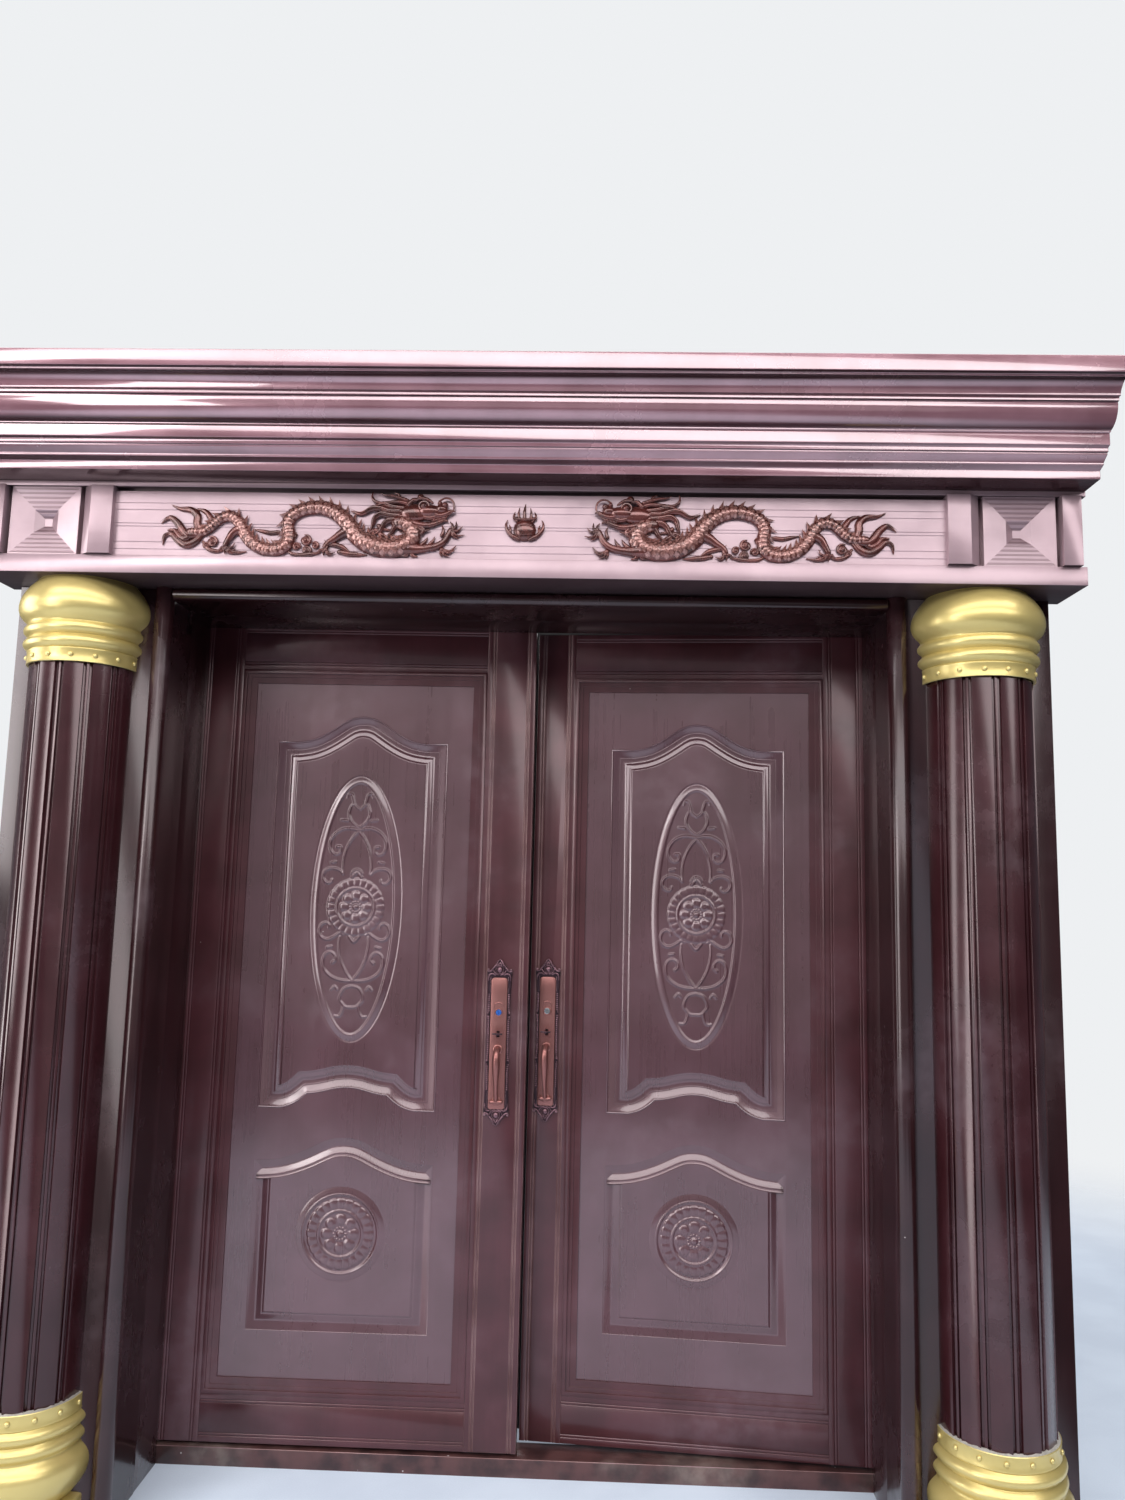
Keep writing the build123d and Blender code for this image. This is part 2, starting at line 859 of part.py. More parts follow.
def casing():
    """Right upright of the facing: reveal lining, fine steps and the big round bead."""
    front = -facing_depth
    middle = (bead_inner + bead_outer) / 2
    face = outline(
        Plane.XY,
        (bead_outer, front),
        ((middle, front - bead_rise), (bead_inner, front)),
        (bead_inner, front + bead_step),
        (bead_inner + bead_step, front + bead_step),
        (bead_inner + bead_step, front + 3 * bead_step),
        (lining_inner, front + 3 * bead_step),
        (lining_inner, -post_depth_front),
        (lining_inner + lining_thickness, -post_depth_front),
        (lining_inner + lining_thickness, wall_y),
        (bead_outer, wall_y),
    )
    return along_z(face, 0, ledge_bottom)


def head_casing():
    """Facing over the doorway: soffit lining and a smaller bead under the ledge."""
    front = -facing_depth
    low = ledge_bottom - head_bead_height
    middle = ledge_bottom - head_bead_height / 2
    bead = outline(
        SIDE,
        (front, low),
        ((front - head_bead_rise, middle), (front, ledge_bottom)),
        (wall_y, ledge_bottom),
        (wall_y, low + lining_thickness),
        (-post_depth_front, low + lining_thickness),
        (-post_depth_front, low),
    )
    return along_x(bead, -bead_inner, bead_inner)


def board():
    """Right backing board between the casing and the wall's edge."""
    return block(bead_outer, board_outer, -facing_depth, wall_y, 0, ledge_bottom)


def on_circle(radius, degrees):
    """Point of a circle round the column's axis, 0 degrees to the front."""
    angle = math.radians(degrees)
    return (column_x + radius * math.sin(angle), -facing_depth - radius * math.cos(angle))


def shaft_top():
    """Level where the shaft meets the capital."""
    return ledge_bottom - bulge_height - 2 * collar_ring_height - band_height


def column():
    """Right half-round shaft: six flats parted by grooves that each hold a small ridge."""
    points = []
    low = shaft_radius - groove_depth
    ridge = shaft_radius - ridge_drop
    half = groove_angle / 2
    for angle in groove_angles:
        for radius, turn in (
            (shaft_radius, -half),
            (low, -0.9 * half),
            (low, -0.38 * half),
            (ridge, -0.3 * half),
            (ridge, 0.3 * half),
            (low, 0.38 * half),
            (low, 0.9 * half),
            (shaft_radius, half),
        ):
            points.append(on_circle(radius, angle + turn))
    last = (column_x + shaft_radius * math.cos(math.radians(half)), -facing_depth)
    side = on_circle(shaft_radius, 90 - half)
    points.extend([side, last])
    first_side = on_circle(shaft_radius, half - 90)
    start = (column_x - shaft_radius * math.cos(math.radians(half)), -facing_depth)
    face = outline(Plane.XY, start, first_side, *points)
    return along_z(face, base_band_top, shaft_top())


def collar_profile(level, direction):
    """Half section of a capital or base as (radius, z), from the band's rim to the neck."""
    ring_1 = level + direction * band_height
    ring_2 = ring_1 + direction * collar_ring_height
    swell = ring_2 + direction * collar_ring_height
    end = swell + direction * bulge_height
    waist = band_radius - ring_waist
    crest = waist + ring_rise
    half = direction * collar_ring_height / 2
    return [
        (0, level),
        (band_radius, level),
        (band_radius, ring_1),
        (crest, ring_1 + half),
        (waist, ring_2),
        (crest, ring_2 + half),
        (waist, swell),
        (bulge_radius, swell + direction * bulge_height * 0.27),
        (bulge_radius, swell + direction * bulge_height * 0.55),
        (neck_radius, end),
        (0, end),
    ]


def half_turned(profile):
    """Half revolve of a (radius, z) section round the right column's axis, open side to the wall."""
    face = make_face(Wire([Line(a, b) for a, b in zip(profile, profile[1:] + profile[:1])]))
    section = Plane(origin=(column_x, -facing_depth, 0), x_dir=(1, 0, 0), z_dir=(0, -1, 0)) * face
    return revolve(section, Axis((column_x, -facing_depth, 0), (0, 0, 1)), -180)


def capital():
    """Right gilded capital, a half-round turning under the ledge."""
    return half_turned(collar_profile(shaft_top(), 1))


def base():
    """Right gilded base: the capital's shape upside down on a plain drum."""
    profile = collar_profile(base_band_top, -1)
    foot = profile[-1][1]
    return half_turned(profile[:-1] + [(drum_radius, foot), (drum_radius, 0), (0, 0)])


def stud(z, angle):
    """Low six-sided button on the rim at a level z and an angle round the column."""
    x, y = on_circle(band_radius, angle)
    outward = (math.sin(math.radians(angle)), -math.cos(math.radians(angle)), 0)
    place = Plane(origin=(x, y, z), z_dir=outward)
    rim = [place.from_local_coords((*point, 0)) for point in ring_points(stud_radius, stud_radius, 6)]
    tip = place.from_local_coords((0, 0, stud_height))
    faces = [Face(Wire.make_polygon(rim))]
    faces.extend(Face(Wire.make_polygon([rim[i - 1], rim[i], tip])) for i in range(6))
    return Solid(Shell(faces))


def studs():
    """Studs on the rims of both capitals and bases."""
    first = -(stud_count - 1) / 2 * stud_spread
    levels = (base_band_top - band_height / 2, shaft_top() + band_height / 2)
    right = [stud(z, first + stud_spread * i) for z in levels for i in range(stud_count)]
    return Compound(children=[*right, *[mirrored(button) for button in right]])


def ledge():
    """Plain ledge under the frieze."""
    return block(
        -header_half_length, header_half_length, -ledge_front, wall_y, ledge_bottom, ledge_top
    )


def header_box():
    """Box behind the frieze that carries the header on the wall."""
    half = outer_strip_inner + outer_strip_width
    return block(-half, half, -header_front, wall_y, ledge_top, cornice_bottom)


def frieze_board():
    """Long board with fine plank grooves."""
    top = frieze_top - frieze_drop
    pitch = (top - ledge_top) / (plank_grooves + 1)
    points = []
    for i in range(1, plank_grooves + 1):
        z = ledge_top + i * pitch
        points.extend(
            [(-frieze_front, z - line_width / 2), (line_depth - frieze_front, z)]
        )
        points.append((-frieze_front, z + line_width / 2))
    face = outline(
        SIDE,
        (-header_front, ledge_top),
        (-frieze_front, ledge_top),
        *points,
        (-frieze_front, top),
        (-header_front, top),
    )
    return along_x(face, -frieze_half_length, frieze_half_length)


def frieze_strips():
    """Two upright strips on each side of the frieze."""
    inner = outline(
        Plane.XY,
        (frieze_half_length, -header_front),
        (frieze_half_length, -strip_front),
        (frieze_half_length + strip_width, -strip_front),
        (frieze_half_length + strip_width + strip_splay, -frieze_front),
        (frieze_half_length + strip_width + strip_splay, -header_front),
    )
    right = along_z(inner, ledge_top, frieze_top)
    outer = outer_strip_inner + outer_strip_width
    right += block(outer_strip_inner, outer, -strip_front, -header_front, ledge_top, frieze_top)
    return right + mirrored(right)


def square(side):
    """Corner points of a square round the origin."""
    half = side / 2
    return [(-half, -half), (half, -half), (half, half), (-half, half)]


def corner_block():
    """Square block with a dished face and a funnel in its middle, on the right side."""
    middle_x = block_inner + block_side / 2
    middle_z = ledge_top + frieze_height / 2
    solid = block(
        block_inner, block_inner + block_side, -frieze_front, -header_front, ledge_top, frieze_top
    )
    ring = block_side * block_ring_share
    rim = block_side * 0.97
    front = -frieze_front
    centre = (middle_x, middle_z)
    dish = tapered(square(rim), front, square(ring), front + block_dish, centre)
    pit = block_side * block_pit_share
    funnel = tapered(square(ring), front + block_dish, square(pit), front + block_dish + block_pit, centre)
    return solid - dish - funnel


def frieze_bead():
    """Slim bead strip on top of the frieze."""
    return block(
        -header_half_length,
        header_half_length,
        -frieze_bead_front,
        -header_front,
        frieze_top,
        cornice_bottom,
    )


def ribbon(path, widths):
    """Corner points of a band that follows a path, with a width at each point of it."""
    left = []
    right = []
    for i, (x, z) in enumerate(path):
        side = normal(path[max(i - 1, 0)], path[min(i + 1, len(path) - 1)])
        half = widths[i] / 2
        left.append((x + side[0] * half, z + side[1] * half))
        right.append((x - side[0] * half, z - side[1] * half))
    return right + left[::-1]


def carved(points, height, edge):
    """Carving with sloping sides that stands on the frieze."""
    points = wound(points)
    return tapered(points, -frieze_front, inset(points, edge), -frieze_front - height)


def wound(points):
    """The same polygon running counter-clockwise."""
    area = sum(a[0] * b[1] - b[0] * a[1] for a, b in zip(points, points[1:] + points[:1]))
    return points if area > 0 else points[::-1]


def dragon():
    """Right dragon as a low carving: coiled body, flame tail, legs and a horned head towards the middle."""
    spine = corners(
        (851, 2440),
        (800, 2450),
        ((753, 2478), (713, 2430)),
        ((655, 2397), (604, 2430)),
        ((528, 2504), (431, 2434)),
        ((350, 2398), (290, 2412)),
        (281, 2450),
    )
    count = len(spine) - 1
    widths = [14 + 24 * min(1, 2.2 * i / count) for i in range(count + 1)]
    body = ribbon(spine, widths)
    back = ribbon(spine, [0.5 * width for width in widths])
    carving = tapered(body, -frieze_front, back, -frieze_front - carving_height)
    flames = (
        [(826, 2446), (846, 2452), (858, 2486), (908, 2504), (858, 2506), (830, 2480)],
        [(838, 2428), (868, 2430), (896, 2458), (932, 2452), (912, 2480), (884, 2474), (850, 2440)],
        [(830, 2430), (824, 2408), (860, 2394), (888, 2404), (924, 2396), (916, 2432), (884, 2430), (850, 2432)],
    )
    head = [
        (372, 2462),
        (330, 2512),
        (290, 2530),
        (224, 2526),
        (182, 2520),
        (188, 2488),
        (224, 2478),
        (240, 2452),
        (290, 2456),
    ]
    antler = [(330, 2512), (372, 2512), (400, 2506), (384, 2522), (394, 2546), (374, 2534), (320, 2534)]
    arm = [
        (276, 2386),
        (206, 2380),
        (196, 2398),
        (158, 2424),
        (152, 2440),
        (170, 2472),
        (192, 2450),
        (212, 2418),
        (280, 2404),
    ]
    fore_leg = [(448, 2456), (489, 2420), (470, 2392), (523, 2382), (540, 2410), (506, 2446), (478, 2440)]
    hind_leg = [(736, 2448), (770, 2408), (800, 2402), (812, 2424), (780, 2440), (756, 2452)]
    for flame in flames:
        carving += carved(flame, carving_height * 0.7, 4)
    carving += carved(head, carving_height * 1.3, 7)
    carving += carved(antler, carving_height * 0.7, 4)
    for limb in (arm, fore_leg, hind_leg):
        carving += carved(limb, carving_height * 0.8, 5)
    return carving


def pearl():
    """Flaming pearl in the middle of the frieze."""
    middle = ledge_top + frieze_height / 2
    ball = [(x, middle + z) for x, z in ring_points(26, 26, 12)]
    flame = [
        (-pearl_half_width, middle - 20),
        (-26, middle - 38),
        (26, middle - 38),
        (pearl_half_width, middle - 20),
        (42, middle + 18),
        (32, middle + 6),
        (26, middle + 38),
        (14, middle + 20),
        (0, middle + 48),
        (-14, middle + 20),
        (-26, middle + 38),
        (-32, middle + 6),
        (-42, middle + 18),
    ]
    return carved(flame, carving_height * 0.6, 4) + carved(ball, carving_height * 1.3, 9)


def cornice_piece(start, *steps):
    """One run of the cornice. Points are (distance in front of the leaf plane, height over the frieze bead)."""

    def placed(point):
        return (-point[0], cornice_bottom + point[1])

    moved = []
    for step in steps:
        if isinstance(step[0], tuple):
            moved.append((placed(step[0]), placed(step[1])))
        else:
            moved.append(placed(step))
    face = outline(SIDE, placed(start), *moved)
    return along_x(face, -header_half_length, header_half_length)


def cornice_lower():
    """Lowest run: three small fillets between shallow slopes, then a tall flat band."""
    back = -wall_y
    return cornice_piece(
        (back, 0),
        (542, 0),
        (542, 21),
        (562, 28),
        (562, 33.5),
        (582, 45.5),
        (582, 50),
        (587, 50),
        (587, 60),
        (597, 63.5),
        (597, 93),
        (back, 93),
    )


def cornice_middle():
    """Middle run: a large round that swells outwards, with a small fillet on top."""
    back = -wall_y
    return cornice_piece(
        (back, 93),
        (603, 93),
        (603, 96),
        ((632, 114), (642, 149)),
        (649, 150),
        (649, 158.5),
        (back, 158.5),
    )


def cornice_upper():
    """Top run: a hollow under the plain top band."""
    back = -wall_y
    return cornice_piece(
        (back, 158.5),
        (657, 158.5),
        ((666, 177), (690, 187)),
        (694, 187),
        (694, 192),
        (707, 192),
        (707, 232),
        (back, 232),
    )


def build():
    """All pieces by node name."""
    nodes = {
        "threshold": threshold(),
        "head_stop": head_stop(),
        "frame_head": frame_head(),
        "head_casing": head_casing(),
        "column_studs": studs(),
        "capitals": both(capital()),
        "bases": both(base()),
        "ledge": ledge(),
        "header_box": header_box(),
        "frieze_board": frieze_board(),
        "frieze_strips": frieze_strips(),
        "frieze_bead": frieze_bead(),
        "pearl": pearl(),
        "cornice_lower": cornice_lower(),
        "cornice_middle": cornice_middle(),
        "cornice_upper": cornice_upper(),
        "frame_hinges": hinge_flags(False) + mirrored(hinge_flags(False)),
    }
    pairs = {
        "jamb": jamb(),
        "casing": casing(),
        "facing_board": board(),
        "column": column(),
        "corner_block": corner_block(),
        "dragon": dragon(),
    }
    for name, shape in pairs.items():
        nodes["right_" + name] = shape
        nodes["left_" + name] = mirrored(shape)
    for name, shape in left_leaf().items():
        nodes["left_" + name] = shape
    for name, shape in right_leaf().items():
        nodes["right_" + name] = shape
    return nodes


def both(right):
    """A right piece and its mirror image as one node."""
    return Compound(children=[right, mirrored(right)])


os.makedirs("parts", exist_ok=True)
for node, shape in build().items():
    export_step(shape, f"parts/{node}.step")
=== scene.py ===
"""Looks of a carved double entry door with its columns and header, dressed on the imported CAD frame."""

import logging
import math
import random
from dataclasses import dataclass, field
from enum import Enum
from functools import partial
from typing import Any, Callable, Iterable, Optional

import bmesh
import bpy
import numpy as np
from mathutils import Matrix, Vector


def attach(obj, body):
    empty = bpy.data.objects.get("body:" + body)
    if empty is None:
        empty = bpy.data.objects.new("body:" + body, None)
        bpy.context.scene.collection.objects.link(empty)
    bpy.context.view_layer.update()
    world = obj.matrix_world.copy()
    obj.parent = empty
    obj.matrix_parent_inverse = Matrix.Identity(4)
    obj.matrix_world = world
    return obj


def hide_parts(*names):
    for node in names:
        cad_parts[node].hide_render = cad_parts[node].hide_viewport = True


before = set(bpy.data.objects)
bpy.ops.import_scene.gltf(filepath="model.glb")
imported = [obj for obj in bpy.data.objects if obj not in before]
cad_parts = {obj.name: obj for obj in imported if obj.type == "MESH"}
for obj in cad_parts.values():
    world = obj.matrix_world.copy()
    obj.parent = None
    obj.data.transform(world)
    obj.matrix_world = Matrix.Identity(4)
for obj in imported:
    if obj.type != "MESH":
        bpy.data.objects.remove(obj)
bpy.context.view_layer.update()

log = logging.getLogger("door")
MM = 0.001
FRONT = Vector((0, -1, 0))
TIMES = {"operation": "MULTIPLY"}
PLUS = {"operation": "ADD"}
LESS = {"operation": "SUBTRACT"}
OVER = {"operation": "GREATER_THAN"}
STEP = {"interpolation_type": "SMOOTHSTEP"}
RGBA = {"data_type": "RGBA"}

Point = tuple[float, float]
Place = tuple[float, float, float]
Stroke = tuple[list[Point], list[float]]
Tree = bpy.types.NodeTree
Socket = bpy.types.NodeSocket
Thing = bpy.types.Object


class Side(Enum):
    """Which half of the door a piece belongs to."""

    LEFT = "left"
    RIGHT = "right"


class Grain(Enum):
    """Way in which the faint streaks of a paint run, as their size along x, y and z in millimetres."""

    UPRIGHT = (14.0, 14.0, 900.0)
    LEVEL = (900.0, 14.0, 14.0)


def linear(code: str) -> tuple[float, float, float, float]:
    """Turns an sRGB hex colour into linear values.

    Args:
        code: colour such as "#4f2c2d".

    Returns:
        Red, green, blue and an alpha of 1.
    """
    parts = [int(code[i : i + 2], 16) / 255 for i in (1, 3, 5)]
    flat = [c / 12.92 if c <= 0.04045 else ((c + 0.055) / 1.055) ** 2.4 for c in parts]
    return (flat[0], flat[1], flat[2], 1.0)


def add_node(tree: Tree, kind: str, settings: dict[Any, Any], out: Any = 0) -> Optional[Socket]:
    """Adds a shader node with its settings and links.

    Args:
        tree: node tree that takes the node.
        kind: type of the node without its prefix.
        settings: a value, a hex colour or a socket to link, by property name, input name or input number.
        out: name or number of the wanted output.

    Returns:
        The output, or nothing where the node has none.
    """
    node = tree.nodes.new("ShaderNode" + kind)
    for key, value in settings.items():
        if isinstance(key, str) and hasattr(node, key):
            setattr(node, key, value)
        elif isinstance(value, Socket):
            tree.links.new(value, node.inputs[key])
        else:
            node.inputs[key].default_value = linear(value) if isinstance(value, str) else value
    return node.outputs[out] if node.outputs else None


def per_mm(size: float) -> float:
    """Texture scale that gives features of a size in millimetres."""
    return 1 / (size * MM)


def blank(name: str) -> tuple[bpy.types.Material, Callable[..., Any]]:
    """Starts a node material.

    Args:
        name: name of the material.

    Returns:
        The material, and add_node tied to its emptied tree.
    """
    material = bpy.data.materials.new(name)
    material.use_nodes = True
    material.node_tree.nodes.clear()
    return material, partial(add_node, material.node_tree)


@dataclass(frozen=True)
class PaintFinish:
    """Powder coat on folded steel: a dark copper brown with a soft sheen, dusty in patches.

    The eye sees a slightly mottled satin skin, faint streaks along the sheet, small white specks of
    lime and, close up, the fine orange peel of baked powder. Sizes are in millimetres.
    """

    name: str
    base: str = "#5a3536"
    shade: str = "#3d2022"
    dust: str = "#96808a"
    speck: str = "#d8d0cc"
    # colour of the painted shade on faces that point down
    unlit: str = "#1c0d0e"
    # colour of the painted shade in the grooves
    groove_shade: str = "#5b3c42"
    roughness: float = 0.33
    metallic: float = 0.3
    coat: float = 0.35
    coat_roughness: float = 0.14
    coat_ior: float = 1.5
    gloss: float = 0.6
    mottle_mm: float = 160.0
    cloud_mm: float = 330.0
    smear_mm: float = 38.0
    dust_amount: float = 0.12
    speck_cell_mm: float = 110.0
    speck_mm: float = 1.7
    speckless: float = 0.45
    peel_mm: float = 2.6
    peel: float = 0.05
    grain: Grain = Grain.UPRIGHT
    groove_mm: float = 0.0
    groove_depth: float = 1.4
    # strength of the painted shade on faces that point down
    under: float = 0.0

    def material(self) -> bpy.types.Material:
        """Builds the material."""
        material, add = blank(self.name)
        where = add("TexCoord", {}, "Object")
        along = add("Mapping", {"Scale": [per_mm(s) for s in self.grain.value], "Vector": where})
        streak = add("TexNoise", {"Scale": 1.0, "Detail": 4.0, "Vector": along})
        sizes = ((self.mottle_mm, 5.0), (self.cloud_mm, 6.0), (self.smear_mm, 6.0), (self.peel_mm, 2.0))
        mottle, cloud, smear, peel = (
            add("TexNoise", {"Scale": per_mm(size), "Detail": detail, "Vector": where})
            for size, detail in sizes
        )
        # the paint's own tone, from its mottle and its streaks
        tone = add("Math", TIMES | {0: mottle, 1: 0.88})
        tone = add("Math", PLUS | {0: tone, 1: add("Math", TIMES | {0: streak, 1: 0.12})})
        tone = add("MapRange", STEP | {0: tone, 1: 0.3, 2: 0.66})
        colour = add("Mix", RGBA | {0: tone, 6: self.shade, 7: self.base}, 2)
        # smeared clouds of dust
        cloud = add("MapRange", STEP | {0: cloud, 1: 0.46, 2: 0.7})
        smear = add("MapRange", STEP | {0: smear, 1: 0.34, 2: 0.7, 3: 0.35, 4: 1.0})
        dusty = add("Math", TIMES | {0: cloud, 1: smear})
        share = add("Math", TIMES | {0: dusty, 1: self.dust_amount})
        colour = add("Mix", RGBA | {0: share, 6: colour, 7: self.dust}, 2)
        # specks of lime in some of the cells
        away = add("TexVoronoi", {"Scale": per_mm(self.speck_cell_mm), "Vector": where}, "Distance")
        limit = self.speck_mm / self.speck_cell_mm
        dot = add("MapRange", STEP | {0: away, 1: limit, 2: limit * 0.6})
        pick = add("SeparateColor", {0: away.node.outputs["Color"]})
        dot = add("Math", TIMES | {0: dot, 1: add("Math", OVER | {0: pick, 1: self.speckless})})
        share = add("Math", TIMES | {0: dot, 1: 0.8})
        colour = add("Mix", RGBA | {0: share, 6: colour, 7: self.speck}, 2)
        # painted shade: faces that point down are darkened towards the unlit colour, as if they saw only the
        # dark ground between the columns, and lose coat and gloss
        level = add("SeparateXYZ", {0: add("NewGeometry", {}, "Normal")}, 2)
        below = add("MapRange", STEP | {0: level, 1: -0.75, 2: -0.95, 3: 0.0, 4: self.under})
        colour = add("Mix", RGBA | {0: below, 6: colour, 7: self.unlit}, 2)
        cover = add("Math", LESS | {0: 1.0, 1: below})
        rough = add("Math", TIMES | {0: dusty, 1: 0.16})
        rough = add("Math", PLUS | {0: rough, 1: self.roughness})
        ripple = add("MapRange", STEP | {0: streak, 1: 0.3, 2: 0.7, 3: -0.015, 4: 0.015})
        height = add("Math", TIMES | {0: peel, 1: self.peel})
        height = add("Math", PLUS | {0: height, 1: add("Math", TIMES | {0: dot, 1: 0.3})})
        if self.groove_mm:
            lines = self.grooves(add, where)
            cut = add("Math", TIMES | {0: lines, 1: self.groove_depth})
            height = add("Math", LESS | {0: height, 1: cut})
            # painted shade: the colour in the grooves is darkened, as if the steps between them shaded it
            share = add("Math", TIMES | {0: lines, 1: 0.45})
            colour = add("Mix", RGBA | {0: share, 6: colour, 7: self.groove_shade}, 2)
        settings = {
            "Metallic": self.metallic,
            "Coat Roughness": self.coat_roughness,
            "Coat IOR": self.coat_ior,
            "Base Color": colour,
            "Roughness": add("Math", PLUS | {0: rough, 1: ripple}),
            "Normal": add("Bump", {"Strength": 0.6, "Distance": MM, "Height": height}),
            "Coat Weight": add("Math", TIMES | {0: cover, 1: self.coat}),
            "Specular IOR Level": add("Math", TIMES | {0: cover, 1: self.gloss}),
        }
        add("OutputMaterial", {"Surface": add("BsdfPrincipled", settings)})
        return material

    def grooves(self, add: Callable[..., Any], where: Socket) -> Socket:
        """Fine level grooves on the faces that slope up or down.

        Args:
            add: adds a node to the material.
            where: coordinates in metres.

        Returns:
            1 in a groove, 0 beside it.
        """
        height = add("SeparateXYZ", {0: where}, 2)
        turn = add("Math", TIMES | {0: height, 1: per_mm(self.groove_mm)})
        turn = add("Math", {"operation": "FRACT", 0: turn})
        away = add("Math", {"operation": "ABSOLUTE", 0: add("Math", LESS | {0: turn, 1: 0.5})})
        line = add("MapRange", STEP | {0: away, 1: 0.3, 2: 0.12})
        across = add("SeparateXYZ", {0: add("NewGeometry", {}, "Normal")})
        level = add("Math", {"operation": "ABSOLUTE", 0: across.node.outputs[2]})
        across = add("Math", {"operation": "ABSOLUTE", 0: across})
        mask = add("Math", OVER | {0: add("Math", LESS | {0: level, 1: across}), 1: 0.05})
        return add("Math", TIMES | {0: line, 1: mask})


@dataclass(frozen=True)
class MetalFinish:
    """Metal with darker hollows and rubbed high places, from plating, casting or gilding; the hollows also
    hold painted shade and the high places a painted highlight.

    The eye sees the base tone, a patina that gathers in hollows together with painted shade, paler worn
    ridges with a painted highlight, and a fine grain in the gloss.
    """

    name: str
    base: str
    hollow_patina_and_shade: str
    ridge: str
    metallic: float = 0.8
    roughness: float = 0.36
    grain_mm: float = 3.0
    patch_mm: float = 45.0
    wear: float = 1.0
    bump: float = 0.06
    coat: float = 0.0
    ridge_from: float = 0.505

    def material(self) -> bpy.types.Material:
        """Builds the material."""
        material, add = blank(self.name)
        where = add("TexCoord", {}, "Object")
        patch, fine = (
            add("TexNoise", {"Scale": per_mm(size), "Detail": detail, "Vector": where})
            for size, detail in ((self.patch_mm, 5.0), (self.grain_mm, 3.0))
        )
        share = add("MapRange", STEP | {0: patch, 1: 0.62, 2: 0.35, 3: 0.0, 4: 0.55 * self.wear})
        colour = add("Mix", RGBA | {0: share, 6: self.base, 7: self.hollow_patina_and_shade}, 2)
        # patina and painted shade in the hollows, bare metal and a painted highlight on the ridges
        sharp = add("NewGeometry", {}, "Pointiness")
        low = add("MapRange", STEP | {0: sharp, 1: 0.495, 2: 0.44})
        share = add("Math", TIMES | {0: low, 1: 0.85 * self.wear})
        colour = add("Mix", RGBA | {0: share, 6: colour, 7: self.hollow_patina_and_shade}, 2)
        high = add("MapRange", STEP | {0: sharp, 1: self.ridge_from, 2: self.ridge_from + 0.07})
        rubbed = add("MapRange", STEP | {0: fine, 1: 0.3, 2: 0.6, 3: 0.45, 4: 1.0})
        share = add("Math", TIMES | {0: add("Math", TIMES | {0: high, 1: rubbed}), 1: 0.8 * self.wear})
        rough = add("MapRange", STEP | {0: fine, 1: 0.3, 2: 0.7, 3: -0.05, 4: 0.07})
        height = add("Math", TIMES | {0: fine, 1: self.bump})
        settings = {
            "Metallic": self.metallic,
            "Coat Weight": self.coat,
            "Coat Roughness": 0.15,
            "Base Color": add("Mix", RGBA | {0: share, 6: colour, 7: self.ridge}, 2),
            "Roughness": add("Math", PLUS | {0: rough, 1: self.roughness}),
            "Normal": add("Bump", {"Strength": 0.6, "Distance": MM, "Height": height}),
        }
        add("OutputMaterial", {"Surface": add("BsdfPrincipled", settings)})
        return material


@dataclass(frozen=True)
class PlainFinish:
    """Rubber, moulded film, mortar or concrete: a matt stuff with a fine grit in colour and relief."""

    name: str
    base: str
    shade: str
    roughness: float = 0.7
    grit_mm: float = 4.0
    patch_mm: float = 300.0
    bump: float = 0.15
    fade_m: float = 0.0

    def material(self) -> bpy.types.Material:
        """Builds the material."""
        material, add = blank(self.name)
        where = add("TexCoord", {}, "Object")
        patch, grit = (
            add("TexNoise", {"Scale": per_mm(size), "Detail": detail, "Vector": where})
            for size, detail in ((self.patch_mm, 6.0), (self.grit_mm, 4.0))
        )
        tone = add("Math", TIMES | {0: patch, 1: 0.7})
        tone = add("Math", PLUS | {0: tone, 1: add("Math", TIMES | {0: grit, 1: 0.3})})
        tone = add("MapRange", STEP | {0: tone, 1: 0.38, 2: 0.62})
        rough = add("MapRange", STEP | {0: grit, 1: 0.3, 2: 0.7, 3: -0.06, 4: 0.06})
        height = add("Math", TIMES | {0: grit, 1: self.bump})
        settings = {
            "Base Color": add("Mix", RGBA | {0: tone, 6: self.shade, 7: self.base}, 2),
            "Roughness": add("Math", PLUS | {0: rough, 1: self.roughness}),
            "Normal": add("Bump", {"Strength": 0.5, "Distance": MM, "Height": height}),
        }
        shader = add("BsdfPrincipled", settings)
        if self.fade_m:
            # the floor thins out into the white surroundings
            far = add("VectorMath", {"operation": "LENGTH", 0: where}, "Value")
            share = add("MapRange", STEP | {0: far, 1: self.fade_m, 2: 1.8 * self.fade_m})
            shader = add("MixShader", {0: share, 1: shader, 2: add("BsdfTransparent", {})})
        add("OutputMaterial", {"Surface": shader})
        return material


